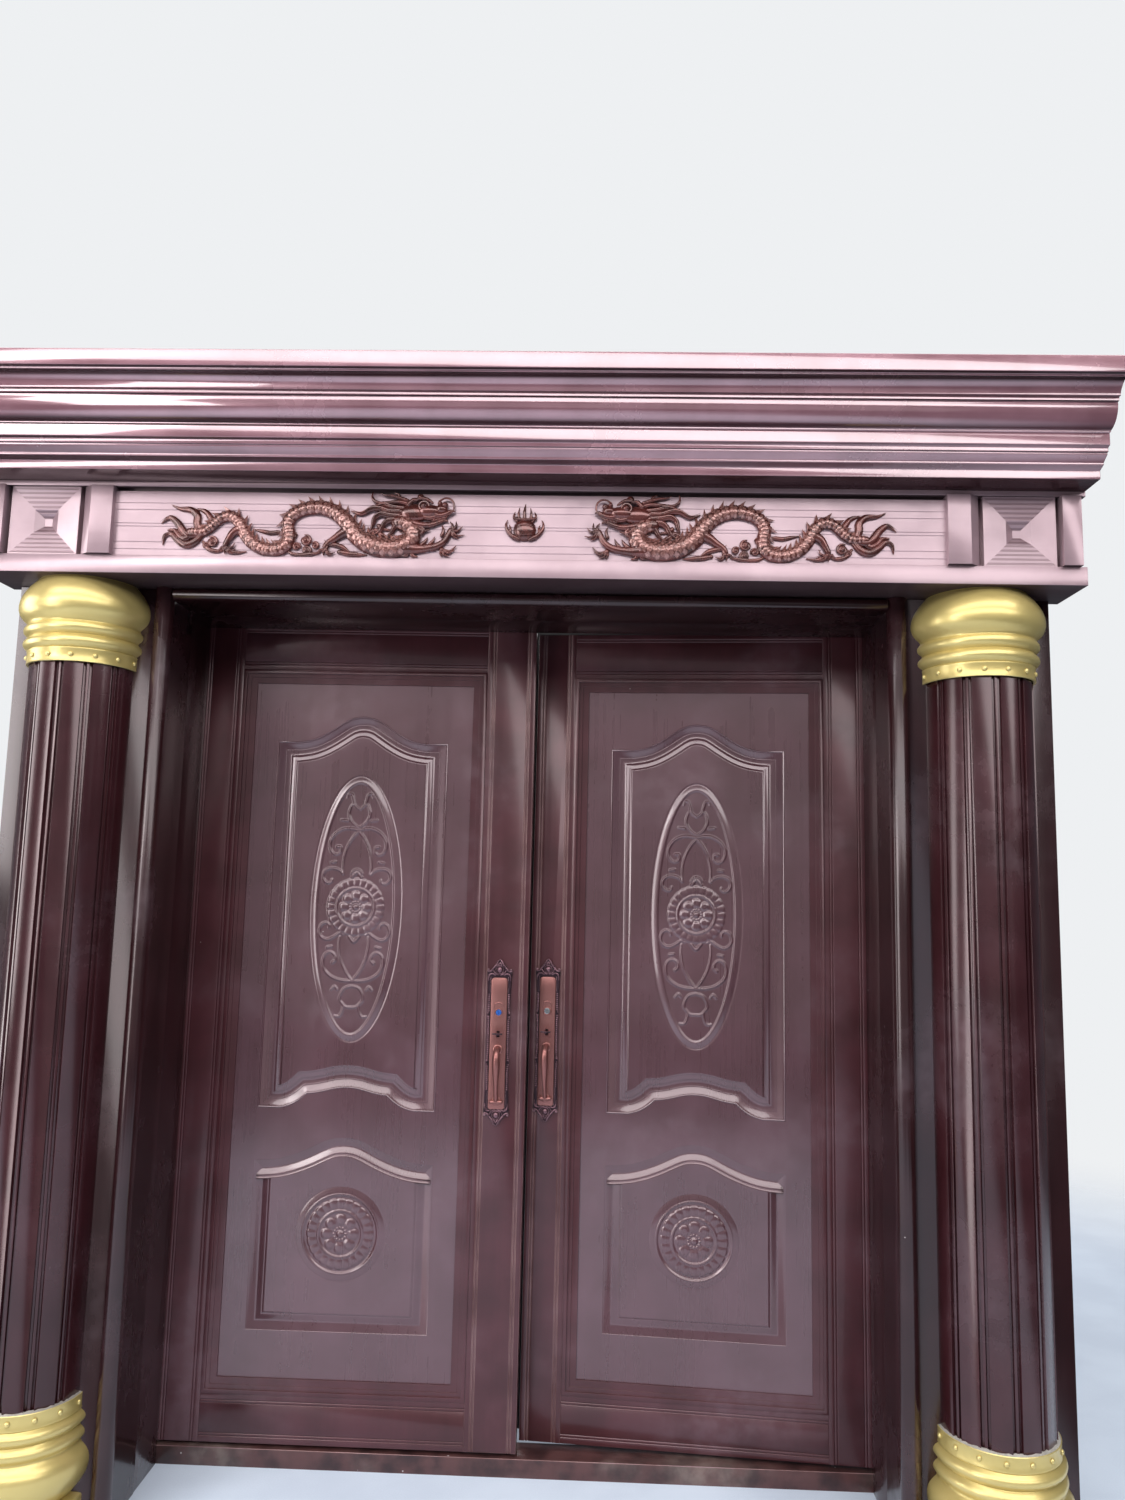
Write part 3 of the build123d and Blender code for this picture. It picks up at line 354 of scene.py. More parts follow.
@dataclass
class Palette:
    """All finishes of the door, built once."""

    panel: PaintFinish = PaintFinish(
        "copper_brown_powder_coat_pressed", base="#5f3b43", shade="#543238", dust_amount=0.1,
        roughness=0.28, gloss=1.0, coat=0.9, coat_roughness=0.09,
    )
    stile: PaintFinish = PaintFinish(
        "copper_brown_powder_coat_stiles", base="#53292f", shade="#431f23", dust_amount=0.16, roughness=0.3
    )
    casing: PaintFinish = PaintFinish(
        "copper_brown_powder_coat_casing", base="#33171a", shade="#280f12", roughness=0.24, under=0.6
    )
    column: PaintFinish = PaintFinish(
        "copper_brown_powder_coat_columns", base="#442126", shade="#36161a", roughness=0.22
    )
    header: PaintFinish = PaintFinish(
        "copper_pink_powder_coat_header", base="#b1959c", shade="#a2868d", roughness=0.3,
        metallic=0.35, dust_amount=0.1, grain=Grain.LEVEL, under=0.85,
    )
    block: PaintFinish = PaintFinish(
        "copper_pink_powder_coat_blocks", base="#b1959c", shade="#a2868d", roughness=0.3,
        metallic=0.35, dust_amount=0.1, grain=Grain.LEVEL, under=0.85, groove_mm=12.0,
    )
    cornice: PaintFinish = PaintFinish(
        "copper_brown_lacquer_cornice", base="#a5737e", shade="#8f5f69", roughness=0.2, gloss=1.0,
        coat_ior=1.9, metallic=0.3, coat=1.0, coat_roughness=0.06, dust_amount=0.06, peel=0.02,
        grain=Grain.LEVEL, under=0.9,
    )
    chipped: PaintFinish = PaintFinish(
        "scuffed_powder_coat_edges", base="#8b6a68", shade="#5d3a3a", dust_amount=0.5, roughness=0.42
    )
    # the metal finishes paint shade into their hollows and a highlight onto their ridges, over their patina
    # and wear
    gold: MetalFinish = MetalFinish(
        "satin_gold_lacquer", "#d8c27c", "#b59f58", "#ebdda2", metallic=0.55, roughness=0.34,
        grain_mm=6.0, patch_mm=220.0, wear=0.35, bump=0.03, coat=0.25,
    )
    carving: MetalFinish = MetalFinish(
        "antiqued_copper_carving_painted_shade_and_highlights", "#6f3630", "#1c0d0c", "#c9948b", metallic=0.45, roughness=0.22,
        grain_mm=4.0, patch_mm=30.0, wear=1.0, bump=0.1, coat=0.9, ridge_from=0.66,
    )
    copper: MetalFinish = MetalFinish(
        "satin_red_copper_plate", "#95625e", "#774b48", "#bd8a82", metallic=0.8, roughness=0.36,
        grain_mm=1.5, patch_mm=60.0, wear=0.4, bump=0.02,
    )
    bronze: MetalFinish = MetalFinish(
        "dark_antique_bronze", "#3f2d35", "#1c141a", "#8a6a70", metallic=0.7, roughness=0.36,
        grain_mm=2.0, patch_mm=18.0, wear=1.0, bump=0.06, ridge_from=0.56,
    )
    trim: MetalFinish = MetalFinish(
        "rubbed_antique_bronze_painted_highlights", "#83626a", "#3a2830", "#cfaeb0", metallic=0.8, roughness=0.3,
        grain_mm=2.0, patch_mm=12.0, wear=1.0, bump=0.05, ridge_from=0.58,
    )
    steel: MetalFinish = MetalFinish(
        "bright_drawn_steel", "#a3a2a4", "#6d6c70", "#c9c8ca", metallic=1.0, roughness=0.3,
        grain_mm=1.5, patch_mm=40.0, wear=0.4, bump=0.02,
    )
    sill: PaintFinish = PaintFinish(
        "worn_powder_coat_threshold", base="#5b3938", shade="#352021", dust="#8c7b74", dust_amount=0.75,
        roughness=0.42, mottle_mm=60.0, speck_cell_mm=40.0, speck_mm=3.0, grain=Grain.LEVEL,
    )
    film: PlainFinish = PlainFinish("blue_protective_film", "#2f62b4", "#1d3f86", roughness=0.3, bump=0.02)
    rubber: PlainFinish = PlainFinish("black_door_seal_rubber", "#1c1a1b", "#121112", roughness=0.6)
    mortar: PlainFinish = PlainFinish("pale_mortar", "#b7b2aa", "#918b84", roughness=0.9, bump=0.5)
    ground: PlainFinish = PlainFinish(
        "pale_concrete_floor", "#d9e4f3", "#d0dbeb", roughness=0.75, fade_m=2.8
    )
    made: dict[str, bpy.types.Material] = field(default_factory=dict)

    def get(self, name: str) -> bpy.types.Material:
        """Material of a finish by its field name, built on first use."""
        if name not in self.made:
            self.made[name] = getattr(self, name).material()
        return self.made[name]


PALETTE = Palette()


def smooth_line(points: list[Point], step: float = 4.0) -> list[Vector]:
    """Runs a soft curve through points.

    Args:
        points: (x, z) points or longer ones.
        step: distance between the samples.

    Returns:
        Samples along the curve.
    """
    ends = [Vector(p) for p in points]
    padded = [2 * ends[0] - ends[1], *ends, 2 * ends[-1] - ends[-2]]
    line = []
    for i in range(len(ends) - 1):
        p0, p1, p2, p3 = padded[i : i + 4]
        count = max(1, round((p2 - p1).length / step))
        for k in range(count):
            t = k / count
            line.append(
                0.5 * (2 * p1 + (p2 - p0) * t + (2 * p0 - 5 * p1 + 4 * p2 - p3) * t * t
                       + (3 * p1 - p0 - 3 * p2 + p3) * t * t * t)
            )
    line.append(ends[-1])
    return line


def ramp(values: list[float], share: float) -> float:
    """Value at a share of the way through a list."""
    if len(values) == 1:
        return values[0]
    at = share * (len(values) - 1)
    low = min(int(at), len(values) - 2)
    return values[low] + (values[low + 1] - values[low]) * (at - low)


@dataclass
class Form:
    """Points and faces in millimetres, gathered until one mesh is made of them."""

    points: list[Place] = field(default_factory=list)
    faces: list[tuple[int, ...]] = field(default_factory=list)

    def add(self, points: Iterable[Iterable[float]], faces: Iterable[Iterable[int]]) -> None:
        """Adds points and faces that count from their own first point."""
        start = len(self.points)
        self.points.extend(tuple(p) for p in points)
        self.faces.extend(tuple(start + i for i in f) for f in faces)

    def join(self, other: "Form") -> None:
        """Adds all of another form."""
        self.add(other.points, other.faces)

    def bridge(self, rings: list[list[Any]]) -> None:
        """Adds closed rings of as many points each, and the faces between them."""
        count = len(rings[0])
        pairs = [(k, (k + 1) % count) for k in range(count)]
        starts = [count * i for i in range(len(rings) - 1)]
        faces = [(i + a, i + b, i + count + b, i + count + a) for i in starts for a, b in pairs]
        self.add([p for ring in rings for p in ring], faces)

    def fill(self, loops: list[list[Place]]) -> None:
        """Adds the flat sheet between closed loops.

        Args:
            loops: the outer loop and its holes, all in one plane that faces the front.
        """
        work = bmesh.new()
        edges = []
        for loop in loops:
            made = [work.verts.new(p) for p in loop]
            edges.extend(work.edges.new((a, b)) for a, b in zip(made, made[1:] + made[:1]))
        bmesh.ops.triangle_fill(work, use_beauty=True, use_dissolve=False, edges=edges, normal=FRONT)
        work.verts.index_update()
        self.add([v.co for v in work.verts], [[v.index for v in f.verts] for f in work.faces])
        work.free()

    def tube(
        self,
        path: list[Vector],
        radii: list[float],
        sides: int = 10,
        lift: Vector = FRONT,
        flat: float = 1.0,
        round_ends: bool = True,
    ) -> None:
        """Adds a tapered rod along a path.

        Args:
            path: centre points in millimetres.
            radii: radii, spread evenly along the path.
            sides: points round the rod.
            lift: direction that the path never runs along.
            flat: thickness along lift as a share of the radius.
            round_ends: whether the ends are domed.
        """
        rings: list[tuple[Vector, Vector, float]] = []
        count = len(path)
        for i, at in enumerate(path):
            way = (path[min(i + 1, count - 1)] - path[max(i - 1, 0)]).normalized()
            rings.append((at, way, ramp(radii, i / (count - 1))))
        if round_ends:
            at, way, r = rings[0]
            rings[:0] = [(at - way * r * 0.87, way, r * 0.5), (at - way * r * 0.5, way, r * 0.87)]
            at, way, r = rings[-1]
            rings += [(at + way * r * 0.5, way, r * 0.87), (at + way * r * 0.87, way, r * 0.5)]
        skin = []
        for at, way, r in rings:
            side = way.cross(lift).normalized()
            out = side.cross(way).normalized()
            angles = [2 * math.pi * k / sides for k in range(sides)]
            skin.append([at + side * (r * math.cos(a)) + out * (r * flat * math.sin(a)) for a in angles])
        first = len(self.points)
        self.bridge(skin)
        last = len(self.points) - sides
        self.faces.append(tuple(range(first + sides - 1, first - 1, -1)))
        self.faces.append(tuple(range(last, last + sides)))

    def ball(self, centre: Vector, size: Vector, rings: int = 8, sides: int = 14) -> None:
        """Adds an egg with its poles on the Y axis.

        Args:
            centre: its middle in millimetres.
            size: its three half sizes.
            rings: bands from pole to pole.
            sides: points round it.
        """
        points = [centre + Vector((0, -size.y, 0))]
        for i in range(1, rings):
            polar = math.pi * i / rings
            depth = -size.y * math.cos(polar)
            for k in range(sides):
                angle = 2 * math.pi * k / sides
                across = size.x * math.sin(polar) * math.cos(angle)
                points.append(centre + Vector((across, depth, size.z * math.sin(polar) * math.sin(angle))))
        points.append(centre + Vector((0, size.y, 0)))
        faces: list[tuple[int, ...]] = []
        for k in range(sides):
            after = (k + 1) % sides
            faces.append((0, 1 + k, 1 + after))
            end = len(points) - 1
            last = 1 + (rings - 2) * sides
            faces.append((end, last + after, last + k))
            for i in range(rings - 2):
                a = 1 + i * sides
                faces.append((a + k, a + sides + k, a + sides + after, a + after))
        self.add(points, faces)

    def mirrored(self) -> "Form":
        """The same form on the other side of the doorway."""
        return Form([(-x, y, z) for x, y, z in self.points], [f[::-1] for f in self.faces])

    def turned(self, degrees: float, pivot: Point) -> "Form":
        """The form turned about an upright axis.

        Args:
            degrees: turn, counter-clockwise from above.
            pivot: (x, y) of the axis.

        Returns:
            The turned form.
        """
        c = math.cos(math.radians(degrees))
        s = math.sin(math.radians(degrees))
        px, py = pivot
        moved = [
            (px + (x - px) * c - (y - py) * s, py + (x - px) * s + (y - py) * c, z)
            for x, y, z in self.points
        ]
        return Form(moved, list(self.faces))

    def mesh(self, name: str, finish: str, sharp: float = 40.0, outward: Optional[Vector] = None) -> Thing:
        """Makes one smooth mesh object.

        Args:
            name: name of the object.
            finish: finish of the palette.
            sharp: angle in degrees above which an edge stays sharp.
            outward: way that an open sheet faces; a closed form needs none.

        Returns:
            The object.
        """
        data = bpy.data.meshes.new(name)
        data.from_pydata([(x * MM, y * MM, z * MM) for x, y, z in self.points], [], self.faces)
        data.validate()
        work = bmesh.new()
        work.from_mesh(data)
        bmesh.ops.remove_doubles(work, verts=work.verts, dist=0.00001)
        bmesh.ops.recalc_face_normals(work, faces=work.faces)
        if outward is not None:
            facing = sum((f.normal.dot(outward) * f.calc_area() for f in work.faces), 0.0)
            if facing < 0:
                bmesh.ops.reverse_faces(work, faces=work.faces)
        work.to_mesh(data)
        work.free()
        data.materials.append(PALETTE.get(finish))
        data.shade_smooth()
        data.set_sharp_from_angle(angle=math.radians(sharp))
        thing = bpy.data.objects.new(name, data)
        bpy.context.scene.collection.objects.link(thing)
        return thing


def deselect() -> None:
    """Leaves nothing selected, the CAD nodes included."""
    if bpy.context.object and bpy.context.object.mode != "OBJECT":
        bpy.ops.object.mode_set(mode="OBJECT")
    bpy.ops.object.select_all(action="DESELECT")


def settle(thing: Thing, name: str, finish: str, sharp: float = 40.0) -> Thing:
    """Applies a hand-shaped object's place, merges it and gives it its finish.

    Args:
        thing: object in object mode.
        name: its name.
        finish: finish of the palette.
        sharp: angle in degrees above which an edge stays sharp.

    Returns:
        The object.
    """
    deselect()
    thing.select_set(True)
    bpy.context.view_layer.objects.active = thing
    bpy.ops.object.transform_apply(location=True, rotation=True, scale=True)
    bpy.ops.object.mode_set(mode="EDIT")
    bpy.ops.mesh.select_all(action="SELECT")
    bpy.ops.mesh.remove_doubles(threshold=0.00001)
    bpy.ops.mesh.normals_make_consistent(inside=False)
    bpy.ops.object.mode_set(mode="OBJECT")
    bpy.ops.object.shade_smooth_by_angle(angle=math.radians(sharp))
    thing.name = name
    thing.data.name = name
    thing.data.materials.clear()
    thing.data.materials.append(PALETTE.get(finish))
    thing.select_set(False)
    return thing


def mirror_copy(thing: Thing, name: str) -> Thing:
    """Copies a piece with its own mesh to the other side of the doorway.

    Args:
        thing: piece at the origin.
        name: name of the copy.

    Returns:
        The copy.
    """
    data = thing.data.copy()
    data.transform(Matrix.Scale(-1, 4, (1, 0, 0)))
    data.flip_normals()
    data.name = name
    copy = bpy.data.objects.new(name, data)
    bpy.context.scene.collection.objects.link(copy)
    return copy


def block(place: Place, size: Place) -> Thing:
    """Adds a block whose place and size are in its mesh.

    Args:
        place: its middle in millimetres.
        size: its width, depth and height in millimetres.

    Returns:
        The block, active and selected.
    """
    deselect()
    middle = [c * MM for c in place]
    bpy.ops.mesh.primitive_cube_add(size=1.0, location=middle, scale=[c * MM for c in size])
    bpy.ops.object.transform_apply(location=True, rotation=True, scale=True)
    return bpy.context.object


def fit(thing: Thing, body: str, slot: str, node: str = "") -> None:
    """Ties a piece to its body and hides the CAD node that it stands for.

    Args:
        thing: finished piece.
        body: CAD body that carries it.
        slot: material slot of the record, not used.
        node: CAD node that it replaces, if any.
    """
    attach(thing, body)
    if node:
        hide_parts(node)
    log.info("%s on %s, %d faces", thing.name, body, len(thing.data.polygons))


def inset(points: list[Vector], distance: float) -> list[Vector]:
    """Moves a closed outline inwards with mitred corners.

    Args:
        points: outline, counter-clockwise.
        distance: how far it moves.

    Returns:
        The moved points, one for each.
    """
    moved = []
    for before, at, after in zip(points[-1:] + points, points, points[1:] + points[:1]):
        a = (at - before).normalized()
        b = (after - at).normalized()
        first = Vector((-a.y, a.x))
        second = Vector((-b.y, b.x))
        moved.append(at + (first + second) * (distance / (1 + first.dot(second))))
    return moved


def divided(points: list[Vector], step: float) -> list[Vector]:
    """Divides the long runs of a closed outline.

    Args:
        points: corners.
        step: longest run that stays whole.

    Returns:
        The outline with more points on its long runs.
    """
    result = []
    for a, b in zip(points, points[1:] + points[:1]):
        count = max(1, round((b - a).length / step))
        result.extend(a + (b - a) * (k / count) for k in range(count))
    return result


def arc(centre: Place, r: float, steps: int, turn: float = 2 * math.pi) -> list[Vector]:
    """Points on an upright circle that faces the front, from its right side round.

    Args:
        centre: its middle.
        r: its radius.
        steps: number of runs between the points.
        turn: how far round it goes, in radians.

    Returns:
        The points, one more than the steps.
    """
    x, y, z = centre
    angles = [turn * k / steps for k in range(steps + 1)]
    return [Vector((x + r * math.cos(a), y, z + r * math.sin(a))) for a in angles]


@dataclass
class KeptNodes:
    """CAD nodes whose shape is right: they get rolled edges and their finish. Sizes are in millimetres."""

    fold: float = 0.9
    crisp: float = 0.5
    close_fit: float = 0.12
    soft: float = 1.6
    merge: float = 0.02
    limit: float = 16.0
    round_limit: float = 28.0

    def dress(self, node: str, finish: str, radius: float, edge: str) -> None:
        """Gives a node its finish and rolled edges.

        Args:
            node: name of the CAD node.
            finish: finish of the palette.
            radius: edge radius in millimetres.
            edge: finish of the rolled edges, or nothing where it is the same.
        """
        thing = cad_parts[node]
        thing.data.materials.clear()
        thing.data.materials.append(PALETTE.get(finish))
        if edge:
            thing.data.materials.append(PALETTE.get(edge))
        faceted = finish == "block"
        thing.data.polygons.foreach_set("use_smooth", [not faceted] * len(thing.data.polygons))
        thing.data.polygons.foreach_set("material_index", [0] * len(thing.data.polygons))
        weld = thing.modifiers.new("weld", "WELD")
        weld.merge_threshold = self.merge * MM
        bevel = thing.modifiers.new("rolled_edges", "BEVEL")
        bevel.width = radius * MM
        bevel.segments = 2
        bevel.limit_method = "ANGLE"
        bevel.angle_limit = math.radians(self.round_limit if finish == "cornice" else self.limit)
        bevel.harden_normals = not faceted
        bevel.use_clamp_overlap = True
        if edge:
            bevel.material = 1
        log.info("%s kept, %s", node, finish)

    def build(self) -> None:
        """Dresses all kept nodes."""
        bolts = "right_lock_case right_latch_bolt right_dead_bolt left_top_shoot_bolt left_bottom_shoot_bolt"
        groups = (
            ("casing", self.fold, "", "jamb casing facing_board", "head_stop frame_head head_casing"),
            ("column", self.fold, "", "column", ""),
            ("block", self.crisp, "", "corner_block", ""),
            ("stile", self.fold, "", "hinge_stile rails", ""),
            ("stile", self.fold, "chipped", "meeting_stile", ""),
            ("stile", self.crisp, "", "panel_moulding", ""),
            ("panel", self.fold, "", "back_panel", ""),
            ("steel", self.crisp, "", "hinge_leaves", "right_cylinder_plug"),
            ("steel", self.close_fit, "", "", bolts + " frame_hinges"),
            ("film", self.crisp, "", "", "left_cylinder_plug"),
            ("bronze", self.soft, "", "inside_handle", ""),
            ("bronze", self.crisp, "", "thumb_piece", ""),
            ("header", self.fold, "", "", "ledge header_box frieze_strips frieze_bead"),
            ("cornice", self.soft, "", "", "cornice_lower cornice_middle cornice_upper"),
            ("sill", self.soft, "chipped", "", "threshold"),
        )
        for finish, radius, edge, paired, single in groups:
            nodes = single.split() + [f"{side.value}_{part}" for side in Side for part in paired.split()]
            for node in nodes:
                self.dress(node, finish, radius, edge)


@dataclass
class PressedPanel:
    """Pressed steel sheet of a leaf: two ogee fields, an oval with scrolls and a rosette, and a roundel."""

    low_x: float = 130.0
    high_x: float = 848.0
    low_z: float = 179.0
    high_z: float = 2174.0
    front: float = 10.0
    half: float = 250.0
    upper_low: float = 928.0
    upper_high: float = 1964.0
    lower_low: float = 341.0
    lower_high: float = 786.0
    oval_z: float = 1489.0
    oval_x: float = 133.0
    oval_reach: float = 378.0
    roundel_z: float = 598.0
    roundel_r: float = 126.0
    margin: float = 6.0
    grid: float = 1.6
    rosette_r: float = 83.0
    lift: float = 2.0
    upper_cut: tuple[Point, ...] = (
        (-1, 0), (0, 0), (1.0, -1.3), (2.6, -1.8), (4.2, -1.1), (5.4, 0.9), (7.4, 1.5), (9.4, 2.3),
        (16, 4.9), (22.5, 7.2), (24, 7.6), (25.2, 7.3), (27, 7.9), (33, 8.5), (38.5, 8.4), (40.5, 7.8),
        (45, 4.8), (46.4, 4.2), (55, 3.7), (56.6, 3.2), (60.4, 0.4), (62, 0), (63, 0),
    )
    lower_cut: tuple[Point, ...] = (
        (-1, 0), (0, 0), (1.2, 0.8), (3, 1.3), (6, 2.4), (13, 5.0), (20, 7.5), (22, 8.0), (24, 8.0),
        (26, 7.3), (32, 4.6), (39, 1.7), (41, 1.0), (42.4, 1.0), (43.6, 1.2), (45.4, 0.2), (48, -1.7),
        (50, -2), (51, -2),
    )
    oval_cut: tuple[Point, ...] = (
        (0, 0), (1.2, -0.9), (2.8, -1.3), (6, -0.4), (12, 1.6), (18, 3.2), (20.5, 3.5), (22, 3.2),
        (25.5, 0.4), (27, 0), (30, 0),
    )
    roundel_cut: tuple[Point, ...] = ((0, 0), (1.5, -0.7), (4, 0.4), (14, 2.2), (20, 2.6), (24, 0))
    roundel_scale: float = 1.13

    @property
    def middle(self) -> float:
        """Middle of the sheet across."""
        return (self.low_x + self.high_x) / 2

    def upper_outline(self) -> list[Vector]:
        """Outline of the upper field, counter-clockwise, round the panel's middle."""
        w, low, high = self.half, self.upper_low, self.upper_high
        kink = (112, low + 40)
        foot = [(187, low), (170, low + 3), (148, low + 12), (128, low + 25), kink]
        foot = self.evened(smooth_line(foot, 5))
        wave = [kink, (88, low + 42), (58, low + 49), (28, low + 57), (0, low + 59)]
        wave = self.whole(smooth_line(wave, 5))
        arch = ((187, 0), (150, 6), (111, 24), (73, 49), (40, 70), (0, 78))
        crown = smooth_line([(x, high + rise) for x, rise in arch], 5)
        left_foot = [Vector((-p.x, p.y)) for p in foot]
        bottom = [Vector((-w, low)), *left_foot, *wave[-2:0:-1], *foot[::-1], Vector((w, low))]
        return [*bottom, Vector((w, high)), *self.whole(crown), Vector((-w, high))]

    def lower_outline(self) -> list[Vector]:
        """Outline of the lower field, counter-clockwise, round the panel's middle."""
        w, low, high = self.half, self.lower_low, self.lower_high
        arch = ((w, 0), (197, 3.5), (155, 13), (105, 32), (65, 52), (32, 64), (0, 67))
        crown = smooth_line([(x, high + rise) for x, rise in arch], 5)
        return [Vector((-w, low)), Vector((w, low)), *self.whole(crown)]

    def evened(self, line: list[Vector], passes: int = 16) -> list[Vector]:
        """Evens the bends of a curve and keeps its ends.

        Args:
            line: samples along the curve.
            passes: how often each sample moves towards its neighbours.

        Returns:
            The moved samples.
        """
        for _ in range(passes):
            inner = [(a + 2 * b + c) / 4 for a, b, c in zip(line, line[1:], line[2:])]
            line = [line[0], *inner, line[-1]]
        return line

    def whole(self, half: list[Vector]) -> list[Vector]:
        """Joins half a curve, which ends on the middle line, to its mirror image.

        Args:
            half: samples from the right end to the middle line.

        Returns:
            The even curve from the right end to the left end.
        """
        return self.evened(half + [Vector((-p.x, p.y)) for p in half[-2::-1]])

    def rings(self, outline: list[Vector], cut: tuple[Point, ...]) -> list[list[Place]]:
        """Rings of points that carry a pressed section round an outline.

        Args:
            outline: outline of the field.
            cut: section as (distance inwards, depth into the door).

        Returns:
            One ring of (x, y, z) for each point of the section.
        """
        return [
            [(self.middle + p.x, self.front + depth, p.y) for p in inset(outline, distance)]
            for distance, depth in cut
        ]

    def sheet(self) -> Form:
        """The whole sheet with its two pressed fields, open where the oval and the roundel sit."""
        form = Form()
        upper = self.rings(self.upper_outline(), self.upper_cut)
        lower = self.rings(self.lower_outline(), self.lower_cut)
        form.bridge(upper)
        form.bridge(lower)
        corners = ((self.low_x, self.low_z), (self.high_x, self.low_z), (self.high_x, self.high_z),
                   (self.low_x, self.high_z))
        disc = self.roundel_r + self.margin
        oval = self.window(self.oval_z, self.oval_x + self.margin, self.oval_reach + self.margin, 0.0)
        form.fill([[(x, self.front, z) for x, z in corners], upper[0], lower[0]])
        form.fill([upper[-1], oval])
        form.fill([lower[-1], self.window(self.roundel_z, disc, disc, -self.lift)])
        return form

    def window(self, z: float, reach_x: float, reach_z: float, depth: float) -> list[Place]:
        """Corners of a rectangle on the sheet's middle line.

        Args:
            z: its middle up.
            reach_x: half its width.
            reach_z: half its height.
            depth: its depth against the sheet.

        Returns:
            Four corners.
        """
        y = self.front + depth
        corners = ((-1, -1), (1, -1), (1, 1), (-1, 1))
        return [(self.middle + i * reach_x, y, z + k * reach_z) for i, k in corners]

    def strands(self) -> list[Stroke]:
        """Scrolls of the oval as (points from its middle, radii), for its right half."""
        return [
            ([(38, 313), (34, 324), (24, 322), (19, 306), (14, 290), (0, 279)],
             [2.2, 3.4, 3.8, 3.6, 3.4, 3.2]),
            ([(14, 290), (23, 292), (31, 266), (22, 244), (9, 232), (0, 227)],
             [2.6, 3.4, 3.8, 3.6, 3.4, 3.2]),
            ([(34, 246), (52, 248)], [4.0, 3.4]),
            ([(0, 219), (22, 224), (44, 222), (66, 209), (80, 188), (81, 168), (72, 152), (59, 149),
              (50, 157), (51, 170), (60, 171)], [4.4, 4.4, 4.4, 4.4, 4.4, 4.2, 4.0, 3.8, 3.6, 3.6, 4.4]),
            ([(2, 214), (17, 196), (31, 170), (39, 140), (41, 112), (38, 93)],
             [4.2, 4.0, 3.6, 3.2, 2.8, 2.2]),
            ([(64, 127), (75, 125)], [4.2, 4.2]),
            ([(40, 92), (52, 104), (72, 109), (90, 103), (98, 88), (93, 73), (81, 66), (72, 70),
              (71, 77)],
             [2.8, 4.0, 4.4, 4.4, 4.4, 4.2, 4.0, 3.6, 3.2]),
            ([(0, 106), (8, 103), (15, 95)], [4.4, 4.4, 3.0]),
            ([(31, -79), (42, -74), (56, -84), (76, -93), (93, -87), (101, -71), (96, -53), (84, -46),
              (74, -51), (72, -60)], [2.6, 3.6, 4.2, 4.4, 4.4, 4.4, 4.2, 4.0, 3.6, 3.2]),
            ([(64, -113), (75, -115)], [4.2, 4.2]),
            ([(41, -84), (42, -112), (35, -150), (20, -182), (2, -206)], [2.2, 3.0, 3.6, 4.0, 4.2]),
            ([(59, -158), (51, -150), (54, -136), (66, -128), (80, -135), (86, -155), (79, -180),
              (56, -199), (28, -207), (0, -208)], [4.6, 3.6, 3.6, 3.8, 4.2, 4.4, 4.4, 4.4, 4.4, 4.4]),
            ([(58, -233), (49, -224), (41, -233)], [3.0, 4.0, 2.8]),
            ([(0, -222), (20, -228), (31, -246), (32, -262), (22, -275), (24, -292), (32, -306),
              (44, -306)],
             [4.0, 4.0, 3.8, 3.6, 3.6, 3.6, 3.6, 3.0]),
            ([(0, -281), (14, -280), (20, -275)], [3.6, 3.6, 3.0]),
            ([(-14, 84), (0, 98), (14, 84)], [4.6, 5.4, 4.6]),
            ([(-14, -84), (0, -98), (14, -84)], [4.6, 5.4, 4.6]),
        ]

    def press(
        self, height: np.ndarray, xs: np.ndarray, zs: np.ndarray, line: list[Vector], radii: list[float]
    ) -> None:
        """Presses one rounded strand into a height map.

        Args:
            height: map that is raised in place.
            xs: columns in millimetres.
            zs: rows in millimetres.
            line: centre line.
            radii: radii along it.
        """
        count = len(line) - 1
        for i in range(count):
            a, b = line[i], line[i + 1]
            r = ramp(radii, i / count)
            cols = slice(*np.searchsorted(xs, (min(a.x, b.x) - r, max(a.x, b.x) + r)))
            rows = slice(*np.searchsorted(zs, (min(a.y, b.y) - r, max(a.y, b.y) + r)))
            gx, gz = np.meshgrid(xs[cols], zs[rows])
            run = b - a
            long = max(run.length_squared, 1e-9)
            t = np.clip(((gx - a.x) * run.x + (gz - a.y) * run.y) / long, 0, 1)
            near = np.hypot(gx - a.x - t * run.x, gz - a.y - t * run.y) / r
            rise = r * np.clip(1 - near**2, 0, 1) ** 0.75
            height[rows, cols] = np.maximum(height[rows, cols], rise)

    def flower(self, radius: np.ndarray, angle: np.ndarray, scale: float) -> np.ndarray:
        """Height of the rosette: scalloped lobes, a bright ring, petals, beads and a boss.

        Args:
            radius: distance from the middle, in millimetres.
            angle: direction in radians.
            scale: size against the oval's rosette.

        Returns:
            Heights in millimetres.
        """
        r = radius / scale
        lobe = np.abs(np.cos(12 * angle)) ** 0.6
        edge = self.rosette_r - 3.5 * (1 - lobe)
        height = 1.2 * np.clip((edge - r) / 2.0, 0, 1)
        fan = np.clip(1 - ((r - 70) / 13.0) ** 2, 0, 1) ** 0.6
        height = height + 2.6 * fan * (0.3 + 0.7 * lobe)
        height = height + 3.2 * np.clip(1 - ((r - 54) / 4.2) ** 2, 0, 1) ** 0.7
        petal = np.abs(np.cos(4 * angle)) ** 0.45
        reach = 33 + 14 * petal
        height = height + 3.6 * petal * np.clip((reach - r) / 8, 0, 1) ** 0.6 * np.clip((r - 17) / 9, 0, 1)
        beads = np.clip(np.cos(6 * angle) ** 2, 0, 1)
        height = height + 2.8 * np.clip(beads - ((r - 14.5) / 3.2) ** 2, 0, 1) ** 0.6
        return height + 4.8 * np.clip(1 - (r / 9.0) ** 2, 0, 1) ** 0.6

